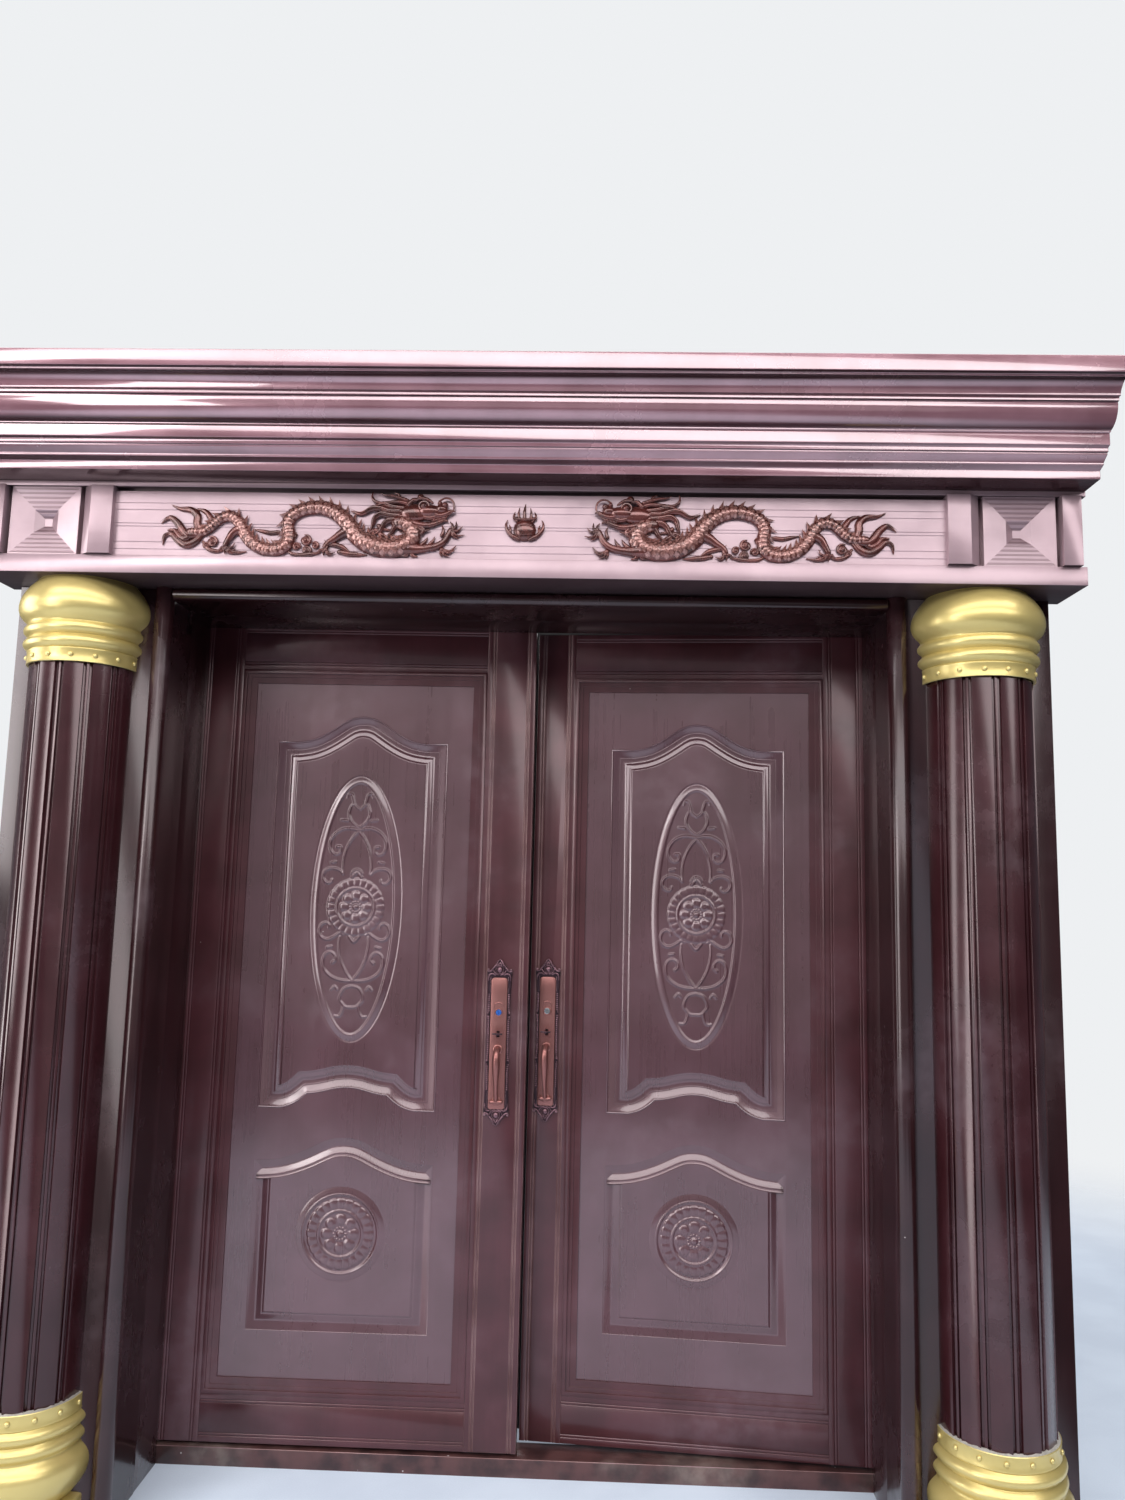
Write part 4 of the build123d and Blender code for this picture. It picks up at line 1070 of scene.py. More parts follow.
    def softened(self, height: np.ndarray) -> np.ndarray:
        """Rounds a height map as thin sheet does over a die."""
        pad = np.pad(height, 1, mode="edge")
        near = pad[:-2, 1:-1] + pad[2:, 1:-1] + pad[1:-1, :-2] + pad[1:-1, 2:]
        return 0.5 * height + 0.125 * near

    def map_form(
        self, centre_z: float, reach_x: float, reach_z: float, base: float, shape: Callable[..., Any]
    ) -> Form:
        """Grid of the sheet over one ornament.

        Args:
            centre_z: level of its middle.
            reach_x: half its width.
            reach_z: half its height.
            base: depth of the sheet round it.
            shape: function of columns and rows that gives heights.

        Returns:
            The grid.
        """
        cols = int(2 * reach_x / self.grid)
        rows = int(2 * reach_z / self.grid)
        xs = np.linspace(-reach_x, reach_x, cols + 1)
        zs = np.linspace(-reach_z, reach_z, rows + 1)
        height = shape(xs, zs)
        height[:2, :] = height[-2:, :] = 0
        height[:, :2] = height[:, -2:] = 0
        gx, gz = np.meshgrid(xs, zs)
        points = np.stack([self.middle + gx, self.front + base - height, centre_z + gz], -1).reshape(-1, 3)
        wide = cols + 1
        corner = (np.arange(rows)[:, None] * wide + np.arange(cols)[None, :]).reshape(-1)
        faces = np.stack([corner, corner + 1, corner + wide + 1, corner + wide], -1)
        return Form([tuple(p) for p in points.tolist()], [tuple(f) for f in faces.tolist()])

    def oval(self) -> Form:
        """The oval with its rolled ring, scrolls and rosette."""

        def shape(xs: np.ndarray, zs: np.ndarray) -> np.ndarray:
            """Heights over the oval's grid."""
            gx, gz = np.meshgrid(xs, zs)
            reach = np.hypot(gx / self.oval_x, gz / self.oval_reach)
            slope = np.hypot(gx / self.oval_x**2, gz / self.oval_reach**2) / np.maximum(reach, 1e-6)
            inward = (1 - reach) / np.maximum(slope, 1e-6)
            cut = np.array(self.oval_cut)
            height = np.interp(inward, cut[:, 0], cut[:, 1], left=0.0, right=0.0)
            flower = self.flower(np.hypot(gx, gz), np.arctan2(gx, gz), 1.0)
            swirl = np.zeros_like(height)
            for points, radii in self.strands():
                for flip in (1, -1):
                    line = smooth_line([(flip * x, z) for x, z in points], 2.0)
                    self.press(swirl, xs, zs, line, radii)
            raised = np.maximum(height, np.maximum(flower, swirl))
            return self.softened(raised + np.minimum(height, 0))

        reach = (self.oval_x + self.margin, self.oval_reach + self.margin)
        return self.map_form(self.oval_z, *reach, 0.0, shape)

    def roundel(self) -> Form:
        """The roundel of the lower field with its rings and flower."""

        def shape(xs: np.ndarray, zs: np.ndarray) -> np.ndarray:
            """Heights over the roundel's grid."""
            gx, gz = np.meshgrid(xs, zs)
            r = np.hypot(gx, gz)
            angle = np.arctan2(gx, gz)
            rim = self.roundel_r
            inward, rise = np.array(self.roundel_cut)[::-1].T
            height = np.interp(r, rim - inward, rise)
            height = height + 2.6 * np.clip(1 - ((r - (rim - 23)) / 4.0) ** 2, 0, 1) ** 0.7
            return self.softened(height + self.flower(r, angle, self.roundel_scale) * (r < rim - 26))

        reach = self.roundel_r + self.margin
        return self.map_form(self.roundel_z, reach, reach, -self.lift, shape)


@dataclass
class Leaf:
    """Visible parts of a leaf that the CAD holds only plainly: its pressed sheet, seal and handle set."""

    pivot: Point = (968.0, 64.5)
    ajar: float = 4.4
    panel: PressedPanel = field(default_factory=PressedPanel)
    seal_x: float = 17.0
    seal_front: float = 34.0
    seal_depth: float = 9.0
    seal_reach: float = 5.4
    seal_low: float = 58.0
    seal_high: float = 2305.0
    lip_reach: float = 15.5
    lip_end: float = 930.0
    top_end: float = 958.0
    leaf_back: float = 55.0

    def placed(self, form: Form, side: Side) -> Form:
        """Puts a form that is drawn closed on the right side where its leaf stands."""
        if side is Side.LEFT:
            return form.mirrored()
        return form.turned(-self.ajar, self.pivot)

    def seal(self, name: str, across: Point, depth: Point, levels: Point) -> None:
        """Builds one straight rubber strip of the active leaf with rounded long edges.

        Args:
            name: name of the piece.
            across: its two ends in x, on the closed leaf.
            depth: its two faces in y.
            levels: its two ends in z.
        """
        ends = (across, depth, levels)
        size = tuple(b - a for a, b in ends)
        place = tuple((a + b) / 2 for a, b in ends)
        block(place, size)
        bpy.ops.object.mode_set(mode="EDIT")
        bpy.ops.mesh.select_all(action="SELECT")
        bpy.ops.mesh.bevel(offset=0.3 * min(size) * MM, segments=2)
        bpy.ops.mesh.select_all(action="SELECT")
        pivot = (self.pivot[0] * MM, self.pivot[1] * MM, 0)
        bpy.ops.transform.rotate(value=math.radians(self.ajar), orient_axis="Z", center_override=pivot)
        bpy.ops.object.mode_set(mode="OBJECT")
        fit(settle(bpy.context.object, name, "rubber"), "right_leaf", "door_paint")

    def seals(self) -> None:
        """Builds the seal in the meeting edge and the black lips behind the gaps, which also stand in for
        the shade seen through the gaps.
        """
        x, back, front = self.seal_x, self.leaf_back, self.seal_front
        low, high, reach = self.seal_low, self.seal_high, self.lip_reach
        # the lips behind the gaps are black rubber that also stands in for the dark shade seen through the
        # gaps
        strips = (
            ("edge_seal", (x - self.seal_reach, x + 0.3), (front, front + self.seal_depth), (low, high)),
            ("edge_shade_lip", (x - reach, x + 8), (back + 0.4, back + 2.6), (low + 1, high + 1)),
            ("top_shade_lip", (x - reach, self.lip_end), (back + 2.7, back + 4.9), (high - 5, high + 26)),
            ("top_seal", (x + 0.4, self.top_end), (3.0, 12.0), (high + 1.9, high + 4.2)),
        )
        for name, across, depth, levels in strips:
            self.seal(f"right_{name}", across, depth, levels)

    def build(self) -> None:
        """Builds both leaves' visible sheets, the seal and the handle sets."""
        panel = self.panel
        forms = (("sheet", panel.sheet()), ("oval", panel.oval()), ("roundel", panel.roundel()))
        for side in Side:
            s = side.value
            for name, form in forms:
                sharp = 32.0 if name == "sheet" else 180.0
                thing = self.placed(form, side).mesh(f"{s}_pressed_{name}", "panel", sharp, FRONT)
                fit(thing, f"{s}_leaf", "panel_paint", f"{s}_pressed_panel")
            HandleSet(side).build(self)
        self.seals()


@dataclass
class HandleSet:
    """Cast handle plate with beaded sides, acanthus tips, a copper field, a cover and a bowed grip."""

    side: Side = Side.RIGHT
    x: float = 68.0
    low: float = 899.0
    high: float = 1354.0
    back: float = 0.0
    plate_front: float = -6.0
    field_front: float = -9.0
    field_half: float = 23.5
    field_low: float = 944.0
    field_high: float = 1303.0
    cylinder_z: float = 1207.0
    plug_r: float = 8.0
    thumb_z: float = 1150.0
    bead_r: float = 2.6
    bead_pitch: float = 5.6
    strip_low: float = 998.0
    strip_high: float = 1257.0
    notches: Point = (1070.0, 1200.0)
    field_clip: float = 9.0
    slot_half: float = 4.2
    hole_steps: int = 28

    def outline(self) -> list[Point]:
        """Right half of the plate's outline from its foot to its tip, round the plate's middle."""
        half = (self.high - self.low) / 2
        upper = [
            (30.5, 0), (30.5, 52), (32.5, 58), (30.5, 64), (31.5, 120), (33, 150), (33.5, 176), (35.5, 184),
            (36, 191), (31, 195), (24, 193), (21, 200), (19, 207), (13, 211), (10.5, 218), (4, 223),
            (0, half),
        ]
        return [(x, -z) for x, z in reversed(upper[1:])] + upper

    def plate(self) -> Form:
        """Cast plate as a slab with rounded shoulders, open where the plug and the thumb piece pass."""
        middle = (self.high + self.low) / 2
        right = self.outline()
        line = [Vector(p) for p in right] + [Vector((-x, z)) for x, z in right[-2:0:-1]]
        front = self.plate_front
        cuts = ((line, self.back - 0.2), (line, front + 1.8), (inset(line, 1.6), front))
        rings = [[(self.x + p.x, y, middle + p.y) for p in ring] for ring, y in cuts]
        form = Form()
        form.bridge(rings)
        form.faces.append(tuple(range(len(line))))
        form.fill([rings[2], self.round_hole(0.5, front), self.slot_hole(front)])
        return form

    def round_hole(self, gap: float, y: float) -> list[Place]:
        """Ring of points round the plug at a depth."""
        ring = arc((self.x, y, self.cylinder_z), self.plug_r + gap, self.hole_steps)
        return [tuple(p) for p in ring[:-1]]

    def slot_hole(self, y: float) -> list[Place]:
        """Corners of the thumb piece's slot at a depth."""
        corners = ((-1, -11.0), (1, -11.0), (1, 6.5), (-1, 6.5))
        return [(self.x + i * self.slot_half, y, self.thumb_z + k) for i, k in corners]

    def copper_field(self) -> Form:
        """Raised copper field with clipped corners, holed for the plug and the thumb piece."""
        w, low, high, clip = self.field_half, self.field_low, self.field_high, self.field_clip
        corners = [
            (-w + 4, low), (w - 4, low), (w, low + 4), (w, high - clip), (w - 2.4, high - 3.4),
            (w - clip, high), (clip - w, high), (2.4 - w, high - 3.4), (-w, high - clip), (-w, low + 4),
        ]
        line = divided([Vector(p) for p in corners], 30)
        front = self.field_front
        cuts = ((line, self.plate_front + 0.4), (inset(line, 1.4), front + 0.5), (inset(line, 2.6), front))
        rings = [[(self.x + p.x, y, p.y) for p in ring] for ring, y in cuts]
        form = Form()
        form.bridge(rings)
        holes = [self.round_hole(0.4, front), self.slot_hole(front)]
        form.fill([rings[2], *holes])
        deep = self.plate_front + 4
        form.bridge([holes[0], self.round_hole(0.4, deep)])
        form.bridge([holes[1], self.slot_hole(deep)])
        return form

    def ornaments(self) -> Form:
        """Beaded side strips, volutes, bosses and leaf tips of the plate."""
        form = Form()
        y = self.plate_front
        for flip in (1, -1):
            z = self.strip_low
            while z < self.strip_high:
                away = min(abs(z - n) for n in self.notches)
                if away > 6:
                    swell = 1.4 * math.exp(-(((away - 12) / 9) ** 2))
                    at = Vector((self.x + flip * (27.6 + swell * 0.6), y - 0.6, z))
                    form.ball(at, Vector((3.6, 2.4 + 0.3 * swell, self.bead_r)), 5, 8)
                z += self.bead_pitch
            for notch in self.notches:
                for shift in (-5.5, 5.5):
                    at = Vector((self.x + flip * 30.2, y - 0.4, notch + shift))
                    form.ball(at, Vector((2.8, 2.8, 3.6)), 6, 10)
            for levels in ((1262, 1290, 1303), (992, 960, 944)):
                rod = [Vector((self.x + flip * a, y - 0.3, b)) for a, b in zip((25, 25.2, 24.6), levels)]
                form.tube(rod, [1.0, 1.1, 1.0], 6, FRONT)
            for end, way in ((self.high, -1), (self.low, 1)):
                self.tip(form, flip, end, way)
        for z in (self.high - 30, self.low + 30):
            form.ball(Vector((self.x, y - 2.2, z)), Vector((8.6, 6.0, 8.6)), 8, 18)
            form.tube(arc((self.x, y - 0.8, z), 11, 24), [1.7], 8, FRONT, 1.0, False)
        return form

    def tip(self, form: Form, flip: int, end: float, way: int) -> None:
        """Leaf, scroll and wing at one end of the plate, on one side.

        Args:
            form: form that takes them.
            flip: 1 on the right, -1 on the left.
            end: level of the plate's tip.
            way: 1 where the plate runs up from the tip, -1 where it runs down.
        """
        strokes = (
            ([(1, 2), (6, 8), (9.5, 16), (14, 21), (17.5, 26)], [1.4, 2.6, 3.2, 3.0, 2.2]),
            ([(17, 24), (24, 33), (30, 35), (34, 33), (33.5, 29.5), (30, 30)],
             [2.0, 2.8, 2.8, 2.6, 2.2, 2.6]),
            ([(12, 45), (20, 41), (27, 43), (31, 51), (31, 60)], [1.6, 2.4, 2.6, 2.2, 1.4]),
            ([(3, 44), (9, 42), (15, 37), (18, 31)], [1.8, 2.6, 2.6, 1.8]),
            ([(0, 10), (3, 14), (6, 20)], [2.0, 2.8, 2.2]),
        )
        for points, radii in strokes:
            line = smooth_line([(flip * a, b) for a, b in points], 3.0)
            path = [Vector((self.x + p.x, self.plate_front - 0.6, end + way * p.y)) for p in line]
            form.tube(path, radii, 8, FRONT, 1.1)

    def cover(self) -> Form:
        """Raised cover round the cylinder: an arched rim over a rounded pad."""
        form = Form()
        x, y, z = self.x, self.field_front, self.cylinder_z
        form.tube(arc((x, y - 0.5, z + 14), 13, 18, math.pi), [1.2, 2.2, 2.2, 1.2], 8, FRONT, 0.9)
        for flip in (1, -1):
            side = [(13, 14), (13.4, 4), (11.4, -6), (6, -12.2), (0, -13.6)]
            line = smooth_line([(flip * a, b) for a, b in side], 2.5)
            form.tube([Vector((x + p.x, y + 0.2, z + p.y)) for p in line], [1.2, 1.0, 0.8], 6, FRONT, 0.8)
        return form

    def plug_ring(self) -> Form:
        """Rim round the plug."""
        form = Form()
        ring = arc((self.x, self.field_front - 1.0, self.cylinder_z), 10, 32)
        form.tube(ring, [1.7], 8, FRONT, 1.2, False)
        return form

    def grip(self) -> Form:
        """Bowed grip: a swelling knob at the top that tapers to a collared foot."""
        form = Form()
        across = Vector((1, 0, 0))
        spine = [
            (-8, 1106), (-22, 1109), (-38, 1106), (-49, 1095), (-51.5, 1078), (-49, 1058), (-44, 1034),
            (-37, 1010), (-28, 989), (-19, 974), (-9, 968),
        ]
        path = [Vector((self.x, p.x, p.y)) for p in smooth_line(spine, 3.0)]
        radii = [10.5, 9.4, 10.0, 11.6, 12.0, 10.8, 8.8, 7.4, 6.8, 7.2, 9.0]
        form.tube(path, radii, 20, across, 0.92, False)
        for z, size in ((1106, 14.0), (967, 13.0)):
            disc = [Vector((self.x, self.field_front - d, z)) for d in (-0.5, 1.6, 2.6)]
            form.tube(disc, [size, size, size - 1.4], 24, across, 1.0, False)
        foot = [Vector((self.x - 12.5, -15, 966)), Vector((self.x + 12.5, -15, 966))]
        form.tube(foot, [7.2, 7.2], 14, Vector((0, 0, 1)), 0.8)
        return form

    def build(self, leaf: Leaf) -> None:
        """Builds the set on one leaf.

        Args:
            leaf: leaf that places it.
        """
        s = self.side.value
        parts = (
            ("plate_casting", self.plate(), "bronze", "handle_bronze", "handle_plate", 40.0),
            ("plate_ornament", self.ornaments(), "trim", "handle_bronze", "handle_plate", 60.0),
            ("plate_field", self.copper_field(), "copper", "handle_copper", "handle_plate", 35.0),
            ("cylinder_cover", self.cover(), "copper", "handle_copper", "", 60.0),
            ("plug_rim", self.plug_ring(), "copper", "handle_copper", "", 60.0),
            ("bowed_grip", self.grip(), "copper", "handle_copper", "pull_grip", 60.0),
        )
        for name, form, finish, slot, node, sharp in parts:
            thing = leaf.placed(form, self.side).mesh(f"{s}_{name}", finish, sharp)
            fit(thing, f"{s}_leaf", slot, f"{s}_{node}" if node else "")


@dataclass
class Dragon:
    """Carved dragon of the frieze: scaled body in three bends, flame tail, clouds, claws, horned head.

    Places are given as (distance from the doorway's middle, height over the ledge), for the right side.
    """

    board_y: float = -452.0
    ledge_z: float = 2375.0
    low: float = 3.0
    scale_pitch: float = 10.5
    spine_pitch: float = 21.0
    toe_bend: float = 0.24

    def at(self, u: float, v: float, out: float = 4.0) -> Vector:
        """Place on the frieze, a distance in front of the board."""
        return Vector((u, self.board_y - out, self.ledge_z + v))

    def stroke(
        self, form: Form, points: list[Point], radii: list[float], out: float = 4.0, flat: float = 0.9,
        step: float = 5.0, sides: int = 10,
    ) -> None:
        """Adds one tapering lock, limb or scroll.

        Args:
            form: form that takes it.
            points: places it runs through.
            radii: radii along it.
            out: how far its middle stands off the board.
            flat: depth against width.
            step: distance between rings.
            sides: points round it.
        """
        line = smooth_line(points, step)
        form.tube([self.at(p.x, p.y, out) for p in line], radii, sides, FRONT, flat)

    def strokes(
        self, form: Form, table: Iterable[Stroke], out: float, flat: float, step: float = 5.0
    ) -> None:
        """Adds a table of locks, limbs or scrolls, each as (places, radii)."""
        for points, radii in table:
            self.stroke(form, points, radii, out, flat, step)

    def body_line(self) -> list[Vector]:
        """Centre line of the body from the tail's root to the neck."""
        points = [
            (856, 62), (838, 62), (820, 62), (800, 76), (778, 97), (753, 104), (730, 88), (713, 57),
            (690, 32), (655, 17), (622, 19), (602, 36), (600, 62), (604, 86), (588, 112), (552, 127),
            (511, 127), (477, 112), (451, 88), (431, 60), (399, 37), (362, 26), (322, 26), (293, 40),
            (283, 62), (296, 84), (322, 94),
        ]
        return smooth_line(points, 4.0)

    def body_radii(self) -> list[float]:
        """Radii of the body from tail to neck."""
        return [10, 13, 15, 16, 16.5, 16.5, 16.5, 17, 18.5, 20, 22.5, 25, 25, 22, 19]

    def body(self, form: Form) -> None:
        """Adds the body with its scales, back fins and belly bands."""
        line = self.body_line()
        radii = self.body_radii()
        path = [self.at(p.x, p.y, 5.0) for p in line]
        form.tube(path, radii, 18, FRONT, 0.72)
        travelled = 0.0
        next_scale = 6.0
        next_fin = 26.0
        row = 0
        total = sum((b - a).length for a, b in zip(path, path[1:]))
        for a, b in zip(path, path[1:]):
            travelled += (b - a).length
            share = travelled / total
            r = ramp(radii, share)
            way = (b - a).normalized()
            if travelled >= next_scale:
                next_scale += self.scale_pitch
                row += 1
                self.scale_row(form, b, way, r, row, share)
            if travelled >= next_fin and share < 0.93:
                next_fin += self.spine_pitch
                self.fin(form, b, way, r)

    def scale_row(self, form: Form, centre: Vector, way: Vector, r: float, row: int, share: float) -> None:
        """Adds one row of overlapping scales across the body, and a belly band below them.

        Args:
            form: form that takes them.
            centre: body's middle there.
            way: direction towards the head.
            r: body's radius there.
            row: number of the row.
            share: how far along the body it is.
        """
        side = way.cross(FRONT).normalized()
        out = FRONT
        spacing = math.radians(34)
        angle = math.radians(-62) + (spacing / 2 if row % 2 else 0)
        size = r * 0.38
        while angle < math.radians(50):
            normal = side * -math.sin(angle) + out * math.cos(angle) * 0.8
            tangent = side * math.cos(angle) + out * math.sin(angle)
            root = centre + side * (-r * math.sin(angle)) + out * (r * 0.72 * math.cos(angle))
            points = [root + normal * 2.6 - way * size * 0.7]
            for k in range(6):
                turn = math.pi * (k / 5 - 0.5)
                reach = -way * (math.cos(turn) * size * 1.15) + tangent * (math.sin(turn) * size)
                points.append(root + reach + normal * 0.25)
            points.append(root + way * size * 0.6 - normal * 0.2)
            points.append(root - normal * 3)
            faces = [(0, k, k + 1) for k in range(1, 6)] + [(0, 6, 7), (0, 7, 1)]
            faces += [(8, k + 1, k) for k in range(1, 6)] + [(8, 7, 6), (8, 1, 7)]
            form.add(points, faces)
            angle += spacing
        if share > 0.3:
            turns = [math.radians(54 + 12 * k) for k in range(5)]
            band = [
                centre + side * (-r * 1.03 * math.sin(-t)) + out * (r * 0.74 * math.cos(t)) for t in turns
            ]
            form.tube(band, [1.4, 1.9, 1.6], 6, way, 0.9)

    def fin(self, form: Form, centre: Vector, way: Vector, r: float) -> None:
        """Adds one pointed fin on the body's back.

        Args:
            form: form that takes it.
            centre: body's middle there.
            way: direction towards the head.
            r: body's radius there.
        """
        up = way.cross(FRONT).normalized()
        root = centre + up * (r * 0.8) + FRONT
        high = 8 + r * 0.55
        tip = root + up * high - way * high * 0.75
        ridge = root + way * 2 + FRONT * 6 + up * high * 0.2
        points = [root + way * 10, root - way * 7, tip, ridge, root - FRONT * 4 + way]
        form.add(points, [(0, 3, 2), (3, 1, 2), (0, 2, 4), (4, 2, 1), (0, 4, 1), (0, 1, 3)])

    def tail(self, form: Form) -> None:
        """Adds the five flame locks of the tail, each with a ridge."""
        locks = (
            ([(832, 62), (839, 86), (840, 106), (857, 120), (884, 123), (905, 131)],
             [9, 11, 10.5, 9, 6, 1.5]),
            ([(800, 92), (814, 112), (828, 120), (842, 123)], [9, 8, 6, 1.5]),
            ([(836, 56), (858, 54), (874, 64), (890, 86), (910, 99), (931, 84)], [9, 11, 11, 9.5, 7, 1.5]),
            ([(826, 54), (842, 36), (864, 28), (886, 40), (904, 56), (920, 50), (924, 27)],
             [8, 10, 11, 10, 8, 5.5, 1.2]),
            ([(850, 60), (866, 44), (884, 52), (896, 66), (914, 66)], [8, 8.5, 7.5, 6, 1.5]),
        )
        for points, radii in locks:
            self.stroke(form, points, radii, 3.0, 0.75)
            crest = [(u + 1.5, v + 1.5) for u, v in points]
            self.stroke(form, crest, [0.16 * r for r in radii], 3.0 + 0.7 * max(radii) * 0.9, 1.0, 6.0, 6)

    def swirl(self, form: Form, u: float, v: float, size: float, turn: float, way: int) -> None:
        """Adds one curled cloud with a round eye.

        Args:
            form: form that takes it.
            u: its middle's distance from the doorway's middle.
            v: its middle's height over the ledge.
            size: its radius.
            turn: where the curl opens, in degrees.
            way: 1 or -1 for the sense of the curl.
        """
        points = []
        for k in range(12):
            angle = math.radians(turn + way * 34 * k)
            reach = size * (1.0 - 0.055 * k)
            points.append((u + reach * math.cos(angle), max(v + reach * math.sin(angle), self.low)))
        self.stroke(form, points, [1.6, 3.4, 3.8, 3.6, 3.2, 2.6, 1.6], 4.5, 1.0, 4.0, 8)
        form.ball(self.at(u, v, 3.0), Vector((size * 0.86, 5.0, size * 0.8)), 6, 14)
        form.ball(self.at(u, v, 7.5), Vector((size * 0.36, 4.0, size * 0.36)), 7, 12)

    def clouds(self, form: Form) -> None:
        """Adds the clouds between the body's bends."""
        curls = (
            (797, 36, 15, 60, 1), (812, 26, 9, 200, -1), (609, 54, 14, 20, 1), (588, 54, 10, 160, -1),
            (557, 43, 15, 80, 1), (554, 17, 13, 250, -1), (532, 30, 10, 40, 1), (580, 26, 11, 200, -1),
        )
        for curl in curls:
            self.swirl(form, *curl)
        trails = (
            ([(770, 20), (750, 12), (730, 9), (708, 12)], [6, 7, 5, 1.5]),
            ([(820, 36), (806, 18), (784, 12), (764, 16)], [4, 6, 6, 2]),
            ([(688, 70), (668, 66), (648, 62), (628, 64), (612, 60)], [2, 5, 6, 6, 4]),
            ([(610, 20), (590, 8), (566, 5), (540, 8), (520, 12)], [2, 5, 6, 6, 3]),
            ([(500, 34), (480, 32), (462, 26), (446, 16)], [5, 7, 7, 3]),
            ([(470, 14), (448, 10), (424, 8), (400, 7)], [6, 7, 6, 1.8]),
            ([(392, 66), (378, 72), (366, 62), (352, 56)], [5, 7, 6, 3]),
            ([(372, 84), (360, 76), (344, 72)], [6, 6, 3]),
        )
        self.strokes(form, trails, 3.0, 0.8)

    def claw(self, form: Form, u: float, v: float, tips: list[Point], thick: float) -> None:
        """Adds a foot with bent, pointed toes.

        Args:
            form: form that takes it.
            u: the foot's distance from the doorway's middle.
            v: its height over the ledge.
            tips: ends of the toes.
            thick: radius at the knuckles.
        """
        form.ball(self.at(u, v, 5.0), Vector((thick * 1.6, 7.0, thick * 1.5)), 7, 12)
        for tip_u, tip_v in tips:
            knee_u = (u + tip_u) / 2 - self.toe_bend * (tip_v - v)
            knee_v = (v + tip_v) / 2 + self.toe_bend * (tip_u - u)
            points = [(u, v), (knee_u, knee_v), (tip_u, max(tip_v, self.low))]
            self.stroke(form, points, [thick, thick * 0.85, thick * 0.62, 0.8], 6.0, 1.0, 3.0, 8)
            knee = self.at(knee_u, max(knee_v, self.low), 8.0)
            form.ball(knee, Vector((thick * 0.7, 3.6, thick * 0.7)), 6, 10)

    def legs(self, form: Form) -> None:
        """Adds the hind leg, the middle leg and the stretched front arm with their claws."""
        limbs = (
            ([(722, 72), (742, 62), (754, 44), (762, 28)], [13, 11, 8.5, 7]),
            ([(446, 70), (466, 60), (484, 47), (500, 36), (506, 26)], [17, 13, 10, 8, 7]),
            ([(300, 26), (276, 24), (248, 26), (222, 32), (204, 44), (193, 62), (188, 74)],
             [20, 15, 11, 10, 9, 8, 7]),
        )
        self.strokes(form, limbs, 6.0, 0.8)
        self.claw(form, 758, 20, [(780, 8), (762, 5), (742, 7), (734, 18), (738, 34)], 4.2)
        self.claw(form, 504, 18, [(526, 6), (508, 4), (488, 5), (508, 44), (480, 12)], 4.6)
        self.claw(form, 186, 74, [(174, 97), (158, 84), (152, 62), (166, 52), (190, 96)], 4.8)
        self.claw(form, 208, 22, [(206, 4), (188, 6), (176, 22), (172, 34)], 4.6)
        tufts = (
            ([(292, 18), (298, 8), (312, 5)], [7, 6, 1.5]),
            ([(284, 16), (282, 6), (270, 4)], [7, 6, 1.5]),
            ([(300, 44), (286, 62), (270, 74)], [7, 7, 3]),
            ([(262, 34), (252, 44), (246, 54)], [6, 5, 1.5]),
            ([(240, 36), (232, 46), (228, 56)], [5, 4, 1.2]),
            ([(210, 60), (206, 74), (210, 86)], [5, 4, 1.2]),
        )
        self.strokes(form, tufts, 5.0, 0.85)

    def head(self, form: Form) -> None:
        """Adds the head: skull, snout, jaws, eye, brow, teeth, antlers, mane, beard and whiskers."""
        lumps = (
            ((282, 118, 6.0), (40, 13, 24), (10, 20)), ((244, 122, 9.0), (32, 14, 17), (10, 20)),
            ((212, 127, 9.0), (17, 13, 13), (9, 16)), ((203, 137, 13.0), (8.5, 9, 7.5), (7, 12)),
            ((216, 141, 13.0), (6.5, 8, 6), (7, 12)), ((256, 133, 18.0), (9.0, 7, 9.0), (8, 16)),
            ((256, 133, 23.0), (4.6, 4, 4.6), (7, 12)), ((266, 157, 8.0), (10, 10, 10), (8, 16)),
        )
        for place, size, counts in lumps:
            form.ball(self.at(*place), Vector(size), *counts)
        turns = [math.pi * k / 8 for k in range(17)]
        eye = [(256 + 12.5 * math.cos(t), 133 + 11.5 * math.sin(t)) for t in turns]
        self.stroke(form, eye, [2.2], 18.0, 0.9, 3.0, 6)
        strokes = (
            ([(276, 148), (264, 153), (248, 150), (234, 141)], [3, 5.2, 5.2, 3], 16.0),
            ([(296, 138), (284, 150), (270, 150)], [6, 6, 4], 12.0),
            ([(230, 114), (216, 110), (200, 114), (188, 122), (178, 121)], [6, 7, 6.5, 5, 2], 12.0),
            ([(262, 110), (244, 104), (224, 108), (206, 104), (194, 112)], [6, 7, 6, 5, 2.4], 9.0),
            ([(290, 92), (264, 86), (242, 86), (222, 92), (206, 99), (196, 97)],
             [10, 9.5, 8.5, 7.5, 6, 2.5], 7.0),
            ([(232, 98), (220, 100), (208, 104)], [3, 3.4, 2], 10.0),
            ([(218, 147), (204, 155), (190, 153), (181, 142), (181, 126), (190, 114), (201, 113)],
             [2.4, 2.6, 2.6, 2.6, 2.4, 2.2, 1.2], 13.0),
            ([(300, 78), (284, 72), (270, 76), (258, 70), (240, 74)], [6, 6.5, 6, 4.5, 1.5], 8.0),
            ([(310, 96), (296, 84), (280, 82)], [6, 7, 3], 11.0),
            ([(268, 84), (256, 74), (262, 62), (278, 60)], [5, 5, 4, 1.4], 9.0),
            ([(282, 84), (286, 70), (300, 62), (316, 66)], [5, 5, 4, 1.4], 9.0),
        )
        for points, radii, out in strokes:
            self.stroke(form, points, radii, out, 0.95, 4.0)
        for u in (238, 230, 222, 214, 207):
